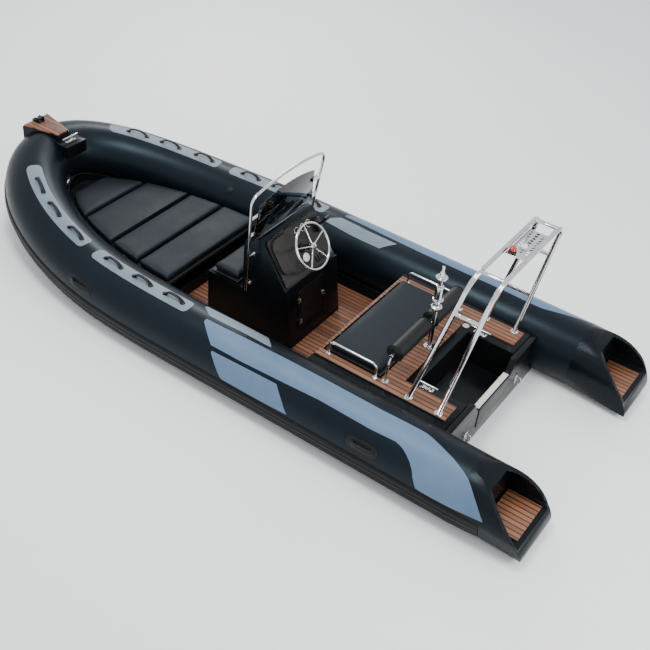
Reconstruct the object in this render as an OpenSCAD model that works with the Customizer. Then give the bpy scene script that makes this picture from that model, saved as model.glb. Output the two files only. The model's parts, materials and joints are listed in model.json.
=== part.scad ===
// Rigid inflatable boat: a deep-V hull with an inflated collar, a steering console
// with a screen, a bench, a ski pole, a stern tower and an outboard well.
// Millimetres. +X is the bow, +Y is port and +Z is up. The origin is on the
// waterline, amidships and on the centreline.

/* [Collar] */
// Length from the tail ends to the front of the bow step
loa = 6000; // [5200:50:7000]
// Width over the collar
beam = 2484; // [2160:4:2980]
// Diameter of the inflated collar
collar_d = 560; // [460:10:640]
// Height of the collar's centreline above the waterline, along the sides
collar_z = 240; // [220:5:300]
// Climb of the collar's centreline from the sides to the bow
bow_rise = 260; // [180:10:320]
// Length of the curved front of the collar
bow_curve = 2480; // [2050:10:2900]
// Fullness of the bow in plan, where 2 is an ellipse
bow_fullness = 2.5; // [2.3:0.1:2.8]
// Length of the collar's tails behind the transom
tail_len = 880; // [740:10:1000]
// Wall of a tail's end shell
tail_wall = 30; // [20:1:36]
// Width of the rubbing strake, measured round the collar
strake_h = 130; // [100:2:150]
// Thickness of the rubbing strake
strake_t = 24; // [18:1:30]

/* [Hull] */
// Depth of the keel below the waterline
keel_depth = 240; // [180:5:300]
// Height of the moulded floor above the waterline
sole_z = 5; // [0:1:20]
// Thickness of the hull liner beside the collar
liner_t = 25; // [18:1:30]
// Length of the bow deck, back from the collar's foremost centreline point
bow_deck_len = 2020; // [1700:10:2200]
// Height of the bow deck above the waterline
bow_deck_z = 285; // [240:5:320]
// Thickness of the transom
transom_t = 55; // [40:1:70]
// Height of the transom's shoulders above the waterline
shoulder_z = 405; // [360:5:440]
// Height of the outboard's seat above the waterline
motor_seat_z = 300; // [250:2:330]
// Width of the outboard's cut-out
motor_cut = 560; // [480:10:700]
// Thickness of teak decking
teak_t = 15; // [10:1:18]

/* [Aft deck] */
// Length of the aft deck, forward from the transom
aft_deck_len = 1255; // [1200:5:1500]
// Height of the aft moulding above the waterline
aft_deck_z = 412; // [380:2:440]
// Length of the outboard's splash well
well_len = 425; // [350:5:460]
// Width of the splash well
well_w = 780; // [700:10:860]
// Wall of the aft moulding and the console
wall = 14; // [10:1:20]
// Length of the bench lid
bench_len = 520; // [440:5:540]
// Width of the bench lid
bench_w = 1144; // [900:4:1150]
// Thickness of a seat lid
lid_t = 15; // [12:1:18]
// Thickness of the seat cushions
cushion_t = 62; // [50:1:80]

/* [Console] */
// Place of the console's front face, forward of amidships
console_x = 150; // [50:5:200]
// Width of the console
console_w = 720; // [600:10:800]
// Depth of the console at the floor
console_depth = 542; // [500:2:600]
// Height of the dash's lower edge above the waterline
dash_low_z = 560; // [520:5:600]
// Height of the dash's upper edge above the waterline
dash_top_z = 945; // [900:5:1000]
// Depth of the front seat's box
front_seat_len = 380; // [340:5:400]
// Height of the front seat's box above the waterline
front_seat_z = 402; // [380:2:430]
// Diameter of the steering wheel
wheel_d = 420; // [340:10:440]
// Thickness of the steering wheel's rim
rim_d = 24; // [20:1:30]
// Number of spokes
spokes = 5; // [3:1:6]
// Height of the steering wheel above the dash
wheel_rise = 122; // [110:1:150]

/* [Stainless frames] */
// Diameter of the tower's tubes
tower_tube_d = 38; // [30:1:42]
// Height of the tower above the waterline
tower_z = 1655; // [1500:5:1800]
// Diameter of the screen frame's tube
screen_tube_d = 25; // [20:1:32]
// Width of the screen frame at its shoulders
screen_w = 990; // [940:10:1060]
// Height of the screen frame above its feet
screen_h = 1050; // [960:10:1100]
// Diameter of the ski pole
ski_pole_d = 38; // [30:1:44]
// Height of the ski pole's top above the waterline
ski_pole_z = 1230; // [1100:10:1300]
// Diameter of the backrest rolls
roll_d = 150; // [120:5:160]

/* [Hidden] */

// Clearances
fit_gap = 0.5;
panel_gap = 5;
pin_gap = 0.2;
lid_gap = 10;

// Collar
collar_r = collar_d / 2;
collar_y = beam / 2 - collar_r;
stern_x = -loa / 2;
bow_overhang = 60;
bow_x = loa / 2 + bow_overhang - collar_r;
bow_start_x = bow_x - bow_curve;
sheer_start_x = bow_x - 1780;
transom_x = stern_x + tail_len;
tail_start_x = stern_x + 550;
ring_sides = 24;

// Hull
hull_aft_x = transom_x + transom_t;
bow_deck_x = bow_x - bow_deck_len;
liner_inset = collar_r + 10;
inner_y = collar_y - liner_inset;
teak_z = sole_z + teak_t;
chine = collar_r * [0.579, 0.875];
nest_low = collar_r * [0.72, 0.815];
nest_high = collar_r * [0.95, 0.385];
keel_rise_x = bow_start_x + 100;
nose_ease = 10;

// Aft deck
deck_front_x = hull_aft_x + aft_deck_len;
well_front_x = hull_aft_x + well_len;
well_floor_z = 120;
aft_teak_z = aft_deck_z + teak_t;
deck_y = inner_y - fit_gap;
teak_y = deck_y - 4;
teak_aft_x = transom_x + 100;
well_border = 85;
bench_axis_x = deck_front_x - 48;
lid_axis = 8;
hinge_r = 6;
hinge_pin_r = 3;
bench_axis_z = aft_deck_z + lid_gap + lid_axis;
bench_front_x = bench_axis_x - lid_axis;
bench_aft_x = bench_front_x - bench_len;
bench_top_z = aft_deck_z + lid_gap + lid_t;
bench_frame_gap = 10;
locker_rim = 40;

// Console
console_aft_x = console_x - console_depth;
dash_low_x = console_aft_x + 102;
dash_top_x = dash_low_x + 250;
dash_slope = atan2(dash_top_z - dash_low_z, dash_top_x - dash_low_x);
dash_len = norm([dash_top_z - dash_low_z, dash_top_x - dash_low_x]);
face_top_z = dash_low_z + 20;
face_top_x = dash_low_x - 20;
face_tilt = atan2(face_top_x - console_aft_x, face_top_z - sole_z);
cowl_z = dash_top_z + 20;
door_hinge_y = 244;
door_w = 405;
door_low = 115;
door_h = 410;
door_t = wall;
front_seat_x = console_x + front_seat_len;
seat_axis_x = front_seat_x - 22;
seat_axis_z = front_seat_z + lid_gap + lid_axis;
seat_lid_front_x = seat_axis_x - lid_axis;
seat_lid_aft_x = console_x + 62;
seat_lid_w = console_w - 20;
dash_panel_t = 6;
wheel_u = 0.49 * dash_len;
wheel_y = -30;
wheel_r = (wheel_d - rim_d) / 2;
hub_r = 30;
hub_h = 34;
shaft_r = 9;
column_top = wheel_rise - hub_h / 2 - 2;

// Screen
screen_foot_x = console_x - 67;
screen_foot_z = dash_low_z - 120;
screen_rake = 5.6;
screen_foot_y = console_w / 2 + 42;
shoulder_h = screen_h - 60;
screen_shoulder_y = screen_w / 2;
glass_t = 6;
glass_low = cowl_z + 4 - screen_foot_z;
glass_side_h = 865;
glass_taper = 42;
glass_crown = 55;
glass_y = screen_foot_y + 12;

// Bench back, ski pole and tower
roll_r = roll_d / 2;
roll_x = bench_aft_x - 56;
roll_z = aft_deck_z + 243;
roll_gap = 64;
roll_end_y = bench_w / 2 - 62;
axle_r = 12;
arm_r = 11;
arm_y = roll_end_y + 30;
pole_x = roll_x - 48;
rail_y = bench_w / 2 + 28;
rail_r = 11;
rail_fore_x = bench_front_x - 48;
rail_aft_x = bench_aft_x + 28;
rail_z = aft_teak_z + 128;
tower_r = tower_tube_d / 2;
tower_foot_y = teak_y - 38;
tower_top_y = tower_foot_y - 90;
tower_fore = [transom_x + 442, transom_x + 164];
tower_aft = [transom_x + 174, transom_x - 30];
tower_start = 5.2 / (tower_z - aft_teak_z);
brace_share = 0.73;
low_brace_share = 0.36;

// Bow step
step_front_x = loa / 2;
step_aft_x = step_front_x - 385;
step_front_y = 160;
step_aft_y = 74;
step_z = collar_z + bow_rise + collar_r + 5;
cleat_shelf_x = step_aft_x - 165;
cleat_shelf_y = 120;
cleat_shelf_z = step_z - 40;
roller_r = 26;
roller_w = 50;
roller_x = step_front_x - 48;
roller_z = step_z + 32;
roller_pin_r = 6;
cheek_t = 6;
cheek_gap = 5.5;

// Tail
step_drop = 55;
tail_bulkhead_x = stern_x + 365;
tail_base = 185;
tail_in = collar_r - 6;
tail_out = collar_r - 58;
tail_sides = 48;
rim_len = 540;
rim_low = 30;

// Rubbing strake
strake_mid = -40;
strake_half = strake_h / collar_r * 90 / PI;
strake_gap = 1.2;

// ---------------------------------------------------------------- helpers

function unit(v) = v / norm(v);

// The collar's plan curve: a runs from 0, where the bow begins, to 90 at the bow
function bow_at(a) = bow_start_x + bow_curve * pow(sin(a), 2 / bow_fullness);
function side_at(a) = collar_y * cos(a);
function sheer(x) = bow_rise * pow(max(0, (x - sheer_start_x) / (bow_x - sheer_start_x)), 2);
function plan_step(a) = [bow_at(a + 0.2) - bow_at(a - 0.2), side_at(a + 0.2) - side_at(a - 0.2)];
function plan_tangent(a) = a < 0.5 ? [1, 0] : a > 89.5 ? [0, -1] : unit(plan_step(a));

// A point beside the collar's centreline, moved inboard and down
function beside(a, inboard, down) =
    let(t = plan_tangent(a))
    [bow_at(a) + inboard * t[1], side_at(a) - inboard * t[0],
        collar_z + sheer(bow_at(a)) - down];
function beside_straight(x, inboard, down) = [x, collar_y - inboard, collar_z - down];
function mirrored(p) = [p[0], -p[1], p[2]];

// Angles of the plan curve from port round to starboard
bow_steps = [for (i = [0:13]) 90 * i / 13];

// Outline inside the collar, seen from above
function inside_outline(inboard) =
    let(port = concat([[stern_x, collar_y - inboard, 0]],
            [for (a = bow_steps) if (a < 89) beside(a, inboard, 0)]),
        n = len(port))
    concat([for (p = port) [p[0], p[1]]],
        [[beside(90, inboard, 0)[0], 0]],
        [for (i = [n - 1:-1:0]) [port[i][0], -port[i][1]]]);

// Round a corner b between a and c with radius r, in n steps
function bend(a, b, c, r, n) =
    let(u = unit(a - b), w = unit(c - b), half = acos(u * w) / 2,
        centre = b + unit(u + w) * r / sin(half),
        s = b + u * r / tan(half) - centre, e = b + w * r / tan(half) - centre,
        turn = 180 - 2 * half)
    [for (i = [0:n]) centre + (sin(turn * (1 - i / n)) * s + sin(turn * i / n) * e) / sin(turn)];

// Route through the points with every inner corner rounded
function route(points, r, n) =
    let(last = len(points) - 1)
    concat([points[0]],
        [for (i = [1:last - 1]) each bend(points[i - 1], points[i], points[i + 1], r, n)],
        [points[last]]);

function along(p, i) = unit(p[min(i + 1, len(p) - 1)] - p[max(i - 1, 0)]);

// Faces of a closed skin over rings of n points, wound outward
function ring_faces(rings, n) = concat(
    [[for (j = [0:n - 1]) j]],
    [for (i = [0:rings - 2], j = [0:n - 1]) each [
        [i * n + j, (i + 1) * n + j, i * n + (j + 1) % n],
        [i * n + (j + 1) % n, (i + 1) * n + j, (i + 1) * n + (j + 1) % n]]],
    [[for (j = [n - 1:-1:0]) (rings - 1) * n + j]]);

// Round tube along a route that lies in the plane whose normal is side
module sweep(path, r, side, n = 12) {
    points = [for (i = [0:len(path) - 1])
        let(t = along(path, i), u = unit(cross(side, t)), v = unit(side))
        for (j = [0:n - 1])
            path[i] + r * (cos(360 * j / n) * u + sin(360 * j / n) * v)];
    polyhedron(points, ring_faces(len(path), n), convexity = 6);
}

// Straight round bar between two points
module bar(a, b, r) {
    d = b - a;
    translate(a)
        rotate([0, acos(d[2] / norm(d)), atan2(d[1], d[0])])
            cylinder(h = norm(d), r = r, $fn = 32);
}

module both_sides() {
    children();
    mirror([0, 1, 0]) children();
}

// A block given by its two corners
module block(low, high) {
    translate(low) cube(high - low);
}

module across(w) {
    translate([0, w / 2, 0]) rotate([90, 0, 0]) linear_extrude(w) children();
}

// Space taken by the straight collar, with a clearance
module collar_space(gap) {
    both_sides()
        translate([stern_x, collar_y, collar_z]) rotate([0, 90, 0])
            cylinder(h = bow_start_x - stern_x, r = collar_r + gap, $fn = 96);
}

// Two fixed knuckles and their pin, along local Z and centred
module hinge_pin_side() {
    cylinder(h = 50, r = hinge_pin_r, center = true, $fn = 32);
    for (s = [-1, 1])
        translate([0, 0, s * 19]) cylinder(h = 12, r = hinge_r, center = true, $fn = 32);
}

// The moving knuckle, with its bore cut last
module hinge_eye_side(lug_x) {
    difference() {
        union() {
            cylinder(h = 25, r = hinge_r, center = true, $fn = 32);
            translate([min(0, lug_x), -hinge_r, -12.5]) cube([abs(lug_x), 2 * hinge_r, 25]);
        }
        cylinder(h = 30, r = hinge_pin_r + pin_gap, center = true, $fn = 32);
    }
}

// ---------------------------------------------------------------- hull

function keel_z(x) =
    let(nose = beside(84, chine[0], chine[1]))
    -keel_depth + (keel_depth + nose[2] - 15) *
        pow(max(0, (x - keel_rise_x) / (nose[0] - keel_rise_x)), 2.2);

function rib(low, nest, top) = let(k = keel_z(low[0])) [
    [low[0], 0, k], low, nest, top, [top[0], 0, top[2]],
    mirrored(top), mirrored(nest), mirrored(low)];

module hull_block() {
    straight = [for (i = [0:3]) let(x = hull_aft_x + (bow_start_x - hull_aft_x) * i / 3)
        rib(beside_straight(x, chine[0], chine[1]),
            beside_straight(x, nest_low[0], nest_low[1]),
            beside_straight(x, nest_high[0], nest_high[1]))];
    curved = [for (a = [6:6:84]) let(ease = nose_ease * pow(a / 84, 4))
        rib(beside(a, chine[0], chine[1]), beside(a, nest_low[0] + ease, nest_low[1] + ease),
            beside(a, nest_high[0] + ease, nest_high[1]))];
    ribs = concat(straight, curved);
    polyhedron([for (r = ribs) each r], ring_faces(len(ribs), 8), convexity = 6);
}

module hull() {
    color("#17191c") difference() {
        hull_block();
        // Cockpit
        intersection() {
            translate([0, 0, sole_z]) linear_extrude(1000)
                polygon(inside_outline(liner_inset));
            block([stern_x, -beam, sole_z], [bow_deck_x, beam, 1000]);
        }
        // Space over the bow deck
        translate([0, 0, bow_deck_z - 30]) linear_extrude(1000)
            polygon(inside_outline(liner_inset));
    }
}

module cockpit_floor() {
    color("#9a5230") difference() {
        intersection() {
            translate([0, 0, sole_z]) linear_extrude(teak_t)
                polygon(inside_outline(liner_inset + 1));
            block([deck_front_x + 1, -beam, 0], [bow_deck_x - 1, beam, 100]);
        }
        block([console_aft_x - 1, -console_w / 2 - 1, 0],
            [front_seat_x + 1, console_w / 2 + 1, 100]);
    }
}

module bow_deck() {
    color("#23272b") intersection() {
        translate([0, 0, bow_deck_z - 30]) linear_extrude(30)
            polygon(inside_outline(liner_inset + 1));
        block([bow_deck_x, -beam, 0], [loa, beam, 1000]);
    }
}

module transom() {
    low_y = collar_y - chine[0];
    low_z = collar_z - chine[1];
    half_cut = motor_cut / 2;
    color("#17191c") difference() {
        translate([transom_x, 0, 0]) rotate([90, 0, 90]) linear_extrude(transom_t)
            polygon([[0, -keel_depth], [low_y, low_z], [collar_y - nest_low[0], collar_z],
                [collar_y - nest_low[0], shoulder_z], [half_cut + 60, shoulder_z],
                [half_cut, motor_seat_z], [-half_cut, motor_seat_z],
                [-half_cut - 60, shoulder_z], [nest_low[0] - collar_y, shoulder_z],
                [nest_low[0] - collar_y, collar_z], [-low_y, low_z]]);
        collar_space(fit_gap);
    }
}

// ---------------------------------------------------------------- collar

module collar_side() {
    translate([tail_start_x, collar_y, collar_z]) rotate([0, 90, 0])
        cylinder(h = bow_start_x - tail_start_x, r = collar_r, $fn = 96);
}

module collar_port() {
    color("#2b323a") collar_side();
}

module collar_starboard() {
    color("#2b323a") mirror([0, 1, 0]) collar_side();
}

// Rings round the bow, from port to starboard, each standing across the collar
module collar_bow_skin(r, sides = ring_sides) {
    port = [for (a = bow_steps) [beside(a, 0, 0), plan_tangent(a)]];
    n = len(port);
    stations = concat(port,
        [for (i = [n - 2:-1:0]) [mirrored(port[i][0]), [-port[i][1][0], port[i][1][1]]]]);
    points = [for (s = stations, j = [0:sides - 1])
        let(out = [-s[1][1], s[1][0], 0], c = cos(360 * j / sides), z = sin(360 * j / sides))
        s[0] + r * (c * out + z * [0, 0, 1])];
    polyhedron(points, ring_faces(len(stations), sides), convexity = 6);
}

module collar_bow() {
    color("#2b323a") collar_bow_skin(collar_r);
}

// Where the tail's end lies beside the collar's centreline, for a direction round it
function tail_end(c, z) = z >= 0 ? collar_r * [c, z] :
    let(low = max(-tail_base, 1.4 * collar_r * z),
        out = collar_r + (collar_r - tail_out) * low / tail_base)
    [max(-tail_in, min(out, 1.4 * collar_r * c)), low];

// The round collar running out into the flat-bottomed end
module tail_body(side) {
    points = [for (share = [0, 0.5, 1], j = [0:tail_sides - 1])
        let(c = cos(360 * j / tail_sides), z = sin(360 * j / tail_sides),
            at = (1 - share) * collar_r * [c, z] + share * tail_end(c, z))
        [tail_start_x + share * (stern_x - tail_start_x), side * (collar_y + at[0]),
            collar_z + at[1]]];
    faces = ring_faces(3, tail_sides);
    polyhedron(points, side < 0 ? faces :
        [for (f = faces) [for (i = [len(f) - 1:-1:0]) f[i]]], convexity = 4);
}

// Everything ahead of the mouth's swept-back rim
module tail_rim() {
    low = collar_z - tail_base + rim_low;
    rise = collar_z + collar_r + 6 - low;
    curve = [for (a = [0:6:90])
        [stern_x + rim_len * (1 - pow(sin(a), 1.4)), low + rise * pow(cos(a), 1.4)]];
    rotate([90, 0, 0]) linear_extrude(3 * beam, center = true)
        polygon(concat([[0, -500], [0, 1500], [stern_x + rim_len, 1500]], curve,
            [[stern_x - 10, low], [stern_x - 10, -500]]));
}

module tail_shell(side) {
    difference() {
        intersection() {
            tail_body(side);
            tail_rim();
        }
        intersection() {
            translate([stern_x - 10, side * collar_y, collar_z]) rotate([0, 90, 0])
                cylinder(h = tail_bulkhead_x - stern_x + 10, r = collar_r - tail_wall, $fn = 96);
            block([stern_x - 20, -beam, collar_z - step_drop - teak_t], [0, beam, 1000]);
        }
    }
}

module tail_shell_port() {
    color("#101215") tail_shell(1);
}

module tail_shell_starboard() {
    color("#101215") tail_shell(-1);
}

module step_teak() {
    color("#9a5230") {
        both_sides()
            block([stern_x + 75, collar_y - 227, collar_z - step_drop - teak_t],
                [tail_bulkhead_x - 15, collar_y + 169, collar_z - step_drop]);
        difference() {
            translate([0, 0, step_z]) linear_extrude(teak_t) step_plan(8);
            roller_slot();
        }
    }
}

// A direction round the collar, where 0 is outboard and 90 is up
function round_collar(r, a) = r * [cos(a), sin(a)];

// Strake lying against the collar's lower flank
module rubbing_strake() {
    low = strake_mid - strake_half;
    high = strake_mid + strake_half;
    color("#0d0e10") {
        both_sides()
            translate([tail_start_x + 10, collar_y, collar_z]) rotate([90, 0, 90])
                linear_extrude(bow_start_x - tail_start_x - 11) difference() {
                    intersection() {
                        circle(r = collar_r + strake_t, $fn = 96);
                        polygon([[0, 0], round_collar(2 * collar_r, low),
                            round_collar(2 * collar_r, high)]);
                    }
                    circle(r = collar_r + strake_gap, $fn = 96);
                }
        strake_bow(low, high);
    }
}

module strake_bow(low, high) {
    inner = [for (i = [0:4]) round_collar(collar_r + strake_gap, high + (low - high) * i / 4)];
    outer = [for (i = [0:4]) round_collar(collar_r + strake_t, low + 4 + (high - low - 8) * i / 4)];
    profile = concat(inner, outer);
    count = len(profile);
    port = [for (a = bow_steps) [beside(a, 0, 0), plan_tangent(a)]];
    n = len(port);
    stations = concat(port,
        [for (i = [n - 2:-1:0]) [mirrored(port[i][0]), [-port[i][1][0], port[i][1][1]]]]);
    points = [for (s = stations, q = profile)
        s[0] + q[0] * [-s[1][1], s[1][0], 0] + q[1] * [0, 0, 1]];
    polyhedron(points, ring_faces(len(stations), count), convexity = 6);
}

// One moulded grab handle: two feet and a raised grip, along local X
module grab_handle() {
    length = 200;
    rise = 34;
    grip_r = 9;
    foot = 34;
    for (s = [-1, 1])
        translate([s * (length - foot) / 2, 0, rise / 2])
            cube([foot, 2 * grip_r, rise], center = true);
    translate([-length / 2, -grip_r, rise - 2]) cube([length, 2 * grip_r, 12]);
}

// Three handles in a row on top of the collar, centred on the given angles
module handle_row(angles) {
    for (a = angles) {
        t = plan_tangent(a);
        climb = atan2(sheer(bow_at(a + 0.5)) - sheer(bow_at(a - 0.5)), norm(plan_step(a)) * 2.5);
        translate(beside(a, 0, -collar_r - 3)) rotate([0, 0, atan2(t[1], t[0])])
            rotate([0, -climb, 0]) grab_handle();
    }
}

// The angle at which the plan curve has gone forward by x from the bow's start
function angle_at(x) = asin(pow(x / bow_curve, bow_fullness / 2));

bow_row = [for (x = [1310, 1660, 1970]) angle_at(x)];

mid_row = [for (x = [90, 440, 790]) angle_at(x)];

module grab_handles_bow_port() {
    color("#15171a") handle_row(bow_row);
}

module grab_handles_bow_starboard() {
    color("#15171a") mirror([0, 1, 0]) handle_row(bow_row);
}

module grab_handles_mid_port() {
    color("#15171a") handle_row(mid_row);
}

module grab_handles_mid_starboard() {
    color("#15171a") mirror([0, 1, 0]) handle_row(mid_row);
}

// Carrying handles on the collar's shoulder, along local X and facing outboard
module carry_handles() {
    tilt = 22;
    color("#15171a") both_sides() {
        for (a = [angle_at(930)])
            translate(beside(a, 0, 0))
                rotate([0, 0, atan2(plan_tangent(a)[1], plan_tangent(a)[0])])
                    rotate([tilt - 90, 0, 0]) translate([0, 0, collar_r + 1.5])
                        grab_handle();
        translate([transom_x + 470, collar_y, collar_z])
            rotate([tilt - 90, 0, 0]) translate([0, 0, collar_r + 1.5]) grab_handle();
    }
}

// ---------------------------------------------------------------- bow fittings

module step_plan(inset) {
    polygon([[step_front_x - inset, step_front_y - inset], [step_aft_x + inset, step_aft_y - inset],
        [step_aft_x + inset, inset - step_aft_y], [step_front_x - inset, inset - step_front_y]]);
}

module roller_slot() {
    half = roller_w / 2 + cheek_gap + cheek_t + 0.5;
    block([roller_x - 48, -half, step_z - 34], [step_front_x + 60, half, step_z + 200]);
}

module bow_step() {
    cheek_y = roller_w / 2 + cheek_gap;
    color("#0f1113") difference() {
        union() {
            difference() {
                translate([0, 0, step_z - 150]) linear_extrude(150) step_plan(0);
                roller_slot();
            }
            block([cleat_shelf_x, -cleat_shelf_y, cleat_shelf_z - 120],
                [step_aft_x + 1, cleat_shelf_y, cleat_shelf_z]);
            both_sides() difference() {
                block([roller_x - 42, cheek_y, step_z - 40],
                    [step_front_x, cheek_y + cheek_t, roller_z + 22]);
                block([roller_x + 24, 0, roller_z + 4], [step_front_x + 1, 100, roller_z + 90]);
            }
            translate([roller_x, 0, roller_z]) rotate([90, 0, 0])
                cylinder(h = 2 * cheek_y + 2, r = roller_pin_r, center = true, $fn = 32);
        }
        collar_bow_skin(collar_r + fit_gap);
    }
}

module anchor_roller() {
    color("#1b1d20") translate([roller_x, 0, roller_z]) rotate([90, 0, 0]) difference() {
        rotate_extrude($fn = 64) polygon([[0, -roller_w / 2], [roller_r, -roller_w / 2],
            [roller_r - 9, -6], [roller_r - 9, 6], [roller_r, roller_w / 2], [0, roller_w / 2]]);
        cylinder(h = roller_w + 2, r = roller_pin_r + pin_gap, center = true, $fn = 32);
    }
}

// Horn cleat along local Y
module cleat(length) {
    block([-20, -length * 0.3, 0], [20, length * 0.3, 6]);
    for (s = [-1, 1])
        translate([0, s * length * 0.2, 5]) cylinder(h = 33, r = 8, $fn = 32);
    translate([0, -length / 2, 42]) rotate([-90, 0, 0]) cylinder(h = length, r = 8, $fn = 32);
}

module cleats() {
    color("#d7dade") {
        translate([(cleat_shelf_x + step_aft_x) / 2, 0, cleat_shelf_z]) cleat(190);
        both_sides() translate([well_front_x - 90, well_w / 2 + 42, aft_deck_z])
            rotate([0, 0, 90]) cleat(190);
    }
}

// ---------------------------------------------------------------- bow cushions

cushion_seams = [bow_x - 2015, bow_x - 1630, bow_x - 1266, bow_x - 809, bow_x - 430];
cushion_inset = liner_inset + 35;

module bow_cushion(i) {
    color("#39424c") intersection() {
        translate([0, 0, bow_deck_z + 1]) linear_extrude(cushion_t)
            polygon(inside_outline(cushion_inset));
        block([cushion_seams[i] + 3, -beam, 0], [cushion_seams[i + 1] - 3, beam, 1000]);
    }
}

module bow_cushion_1() bow_cushion(0);
module bow_cushion_2() bow_cushion(1);
module bow_cushion_3() bow_cushion(2);
module bow_cushion_4() bow_cushion(3);

// ---------------------------------------------------------------- aft deck

module aft_deck() {
    wing = collar_y - collar_r + 60;
    color("#17191c") difference() {
        union() {
            block([hull_aft_x + 0.5, -deck_y, sole_z + 0.5], [deck_front_x, deck_y, aft_deck_z]);
            block([hull_aft_x + 0.5, -wing, aft_deck_z - wall], [deck_front_x, wing, aft_deck_z]);
        }
        // Locker under the bench
        block([bench_aft_x + locker_rim, locker_rim - bench_w / 2, sole_z + wall],
            [bench_front_x - locker_rim, bench_w / 2 - locker_rim, aft_deck_z + 1]);
        // Splash well
        block([transom_x, -well_w / 2, well_floor_z], [well_front_x, well_w / 2, aft_deck_z + 1]);
        collar_space(fit_gap);
    }
    color("#17191c") bench_hinges() {
        hinge_pin_side();
        for (s = [-1, 1])
            translate([lid_gap + lid_axis - 1, 0, s * 19]) cube([2 * (lid_gap + lid_axis), 10, 12], center = true);
    }
}

// Places a hinge's own Z along the lid's edge and its own X down
module bench_hinges() {
    for (y = [-350, 350])
        translate([bench_axis_x, y, bench_axis_z]) rotate([90, 90, 0]) children();
}

module aft_deck_teak() {
    color("#9a5230") difference() {
        block([teak_aft_x, -teak_y, aft_deck_z], [deck_front_x - 10, teak_y, aft_teak_z]);
        block([bench_aft_x - bench_frame_gap, -bench_w / 2 - bench_frame_gap, 0],
            [bench_axis_x + 13, bench_w / 2 + bench_frame_gap, 1000]);
        block([stern_x, -well_w / 2 - well_border, 0],
            [well_front_x + well_border, well_w / 2 + well_border, 1000]);
    }
}

module bench_lid() {
    color("#202429") {
        difference() {
            block([bench_aft_x, -bench_w / 2, aft_deck_z + lid_gap],
                [bench_front_x, bench_w / 2, bench_top_z]);
        }
        bench_hinges() rotate([0, 0, 90]) hinge_eye_side(lid_axis + 2);
    }
}

module bench_cushion() {
    color("#2f363e")
        block([bench_aft_x + 6, 6 - bench_w / 2, bench_top_z + 1],
            [bench_front_x - 6, bench_w / 2 - 6, bench_top_z + 1 + cushion_t]);
}

module backrest() {
    color("#202327") both_sides()
        translate([roll_x, roll_gap / 2, roll_z]) rotate([-90, 0, 0]) difference() {
            cylinder(h = roll_end_y - roll_gap / 2, r = roll_r, $fn = 64);
            translate([0, 0, -1])
                cylinder(h = roll_end_y, r = axle_r + pin_gap, $fn = 32);
        }
}

module backrest_frame() {
    top = [roll_x, arm_y, roll_z];
    knee = [roll_x, arm_y + 34, roll_z - 60];
    foot = [roll_x, arm_y + 50, aft_teak_z];
    color("#d7dade") {
        bar([roll_x, -arm_y, roll_z], [roll_x, arm_y, roll_z], axle_r);
        both_sides() {
            sweep(route([foot + [0, 0, 3], knee, top], 60, 4), arm_r, [1, 0, 0]);
            translate(top) rotate([90, 0, 0])
                cylinder(h = 34, r = axle_r + 6, center = true, $fn = 48);
            translate(foot) cylinder(h = 5, r = 28, $fn = 48);
        }
    }
}

module seat_rails() {
    color("#d7dade") both_sides() {
        sweep(route([[rail_fore_x, rail_y, aft_teak_z], [rail_fore_x, rail_y, rail_z],
            [rail_aft_x, rail_y, rail_z], [rail_aft_x, rail_y, aft_teak_z]], 45, 5),
            rail_r, [0, 1, 0]);
        for (x = [rail_fore_x, rail_aft_x])
            translate([x, rail_y, aft_teak_z]) cylinder(h = 4, r = 22, $fn = 48);
    }
}

module ski_pole() {
    r = ski_pole_d / 2;
    color("#c9ccd0") translate([pole_x, 0, 0]) {
        translate([0, 0, aft_teak_z]) cylinder(h = 8, r = 45, $fn = 64);
        translate([0, 0, aft_teak_z]) cylinder(h = ski_pole_z - aft_teak_z - 60, r = r, $fn = 48);
        translate([0, 0, ski_pole_z - 110]) cylinder(h = 10, r = 48, $fn = 64);
        translate([0, 0, ski_pole_z - 70]) cylinder(h = 70, r = 12, $fn = 32);
    }
}

// ---------------------------------------------------------------- tower

function lean(frame_x, share) =
    [frame_x[0] + share * (frame_x[1] - frame_x[0]),
        tower_foot_y + share * (tower_top_y - tower_foot_y),
        aft_teak_z + share * (tower_z - aft_teak_z)];

module tower_frame(frame_x) {
    foot = lean(frame_x, 0);
    top = lean(frame_x, 1);
    normal = cross(top - foot, [0, 1, 0]);
    start = lean(frame_x, tower_start);
    sweep(route([start, top, mirrored(top), mirrored(start)], 150, 7), tower_r, normal);
    both_sides() translate(foot) cylinder(h = 6, r = 34, $fn = 48);
}

module tower() {
    color("#d7dade") {
        tower_frame(tower_fore);
        tower_frame(tower_aft);
        both_sides() {
            bar(lean(tower_fore, brace_share), lean(tower_aft, brace_share), tower_r * 0.8);
            bar(lean(tower_fore, 1) - [0, 110, 0], lean(tower_aft, 1) - [0, 110, 0],
                tower_r * 0.8);
        }
        bar(mirrored(lean(tower_fore, low_brace_share)),
            mirrored(lean(tower_aft, low_brace_share)), tower_r * 0.8);
    }
}

module tower_plate() {
    fore = lean(tower_fore, 1);
    aft = lean(tower_aft, 1);
    under = tower_z - tower_r - 8;
    color("#c9ccd0") {
        block([aft[0] - 10, -340, under], [fore[0] + 10, 80, under + 7.5]);
    }
    color("#0c0d0f") for (y = [-285, -185])
        block([(aft[0] + fore[0]) / 2 - 45, y - 45, under - 70],
            [(aft[0] + fore[0]) / 2 + 45, y + 45, under - 0.3]);
    color("#b01720") translate([fore[0] - 55, 45, under + 7.8])
        cylinder(h = 50, r = 28, $fn = 48);
}

// ---------------------------------------------------------------- console

module console_profile() {
    polygon([[console_aft_x, sole_z], [face_top_x, face_top_z], [dash_low_x, dash_low_z + 12],
        [dash_top_x, dash_top_z], [dash_top_x + 35, cowl_z], [console_x - 40, cowl_z - 12],
        [console_x, cowl_z - 90], [console_x, front_seat_z], [front_seat_x, front_seat_z],
        [front_seat_x, sole_z]]);
}

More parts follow.
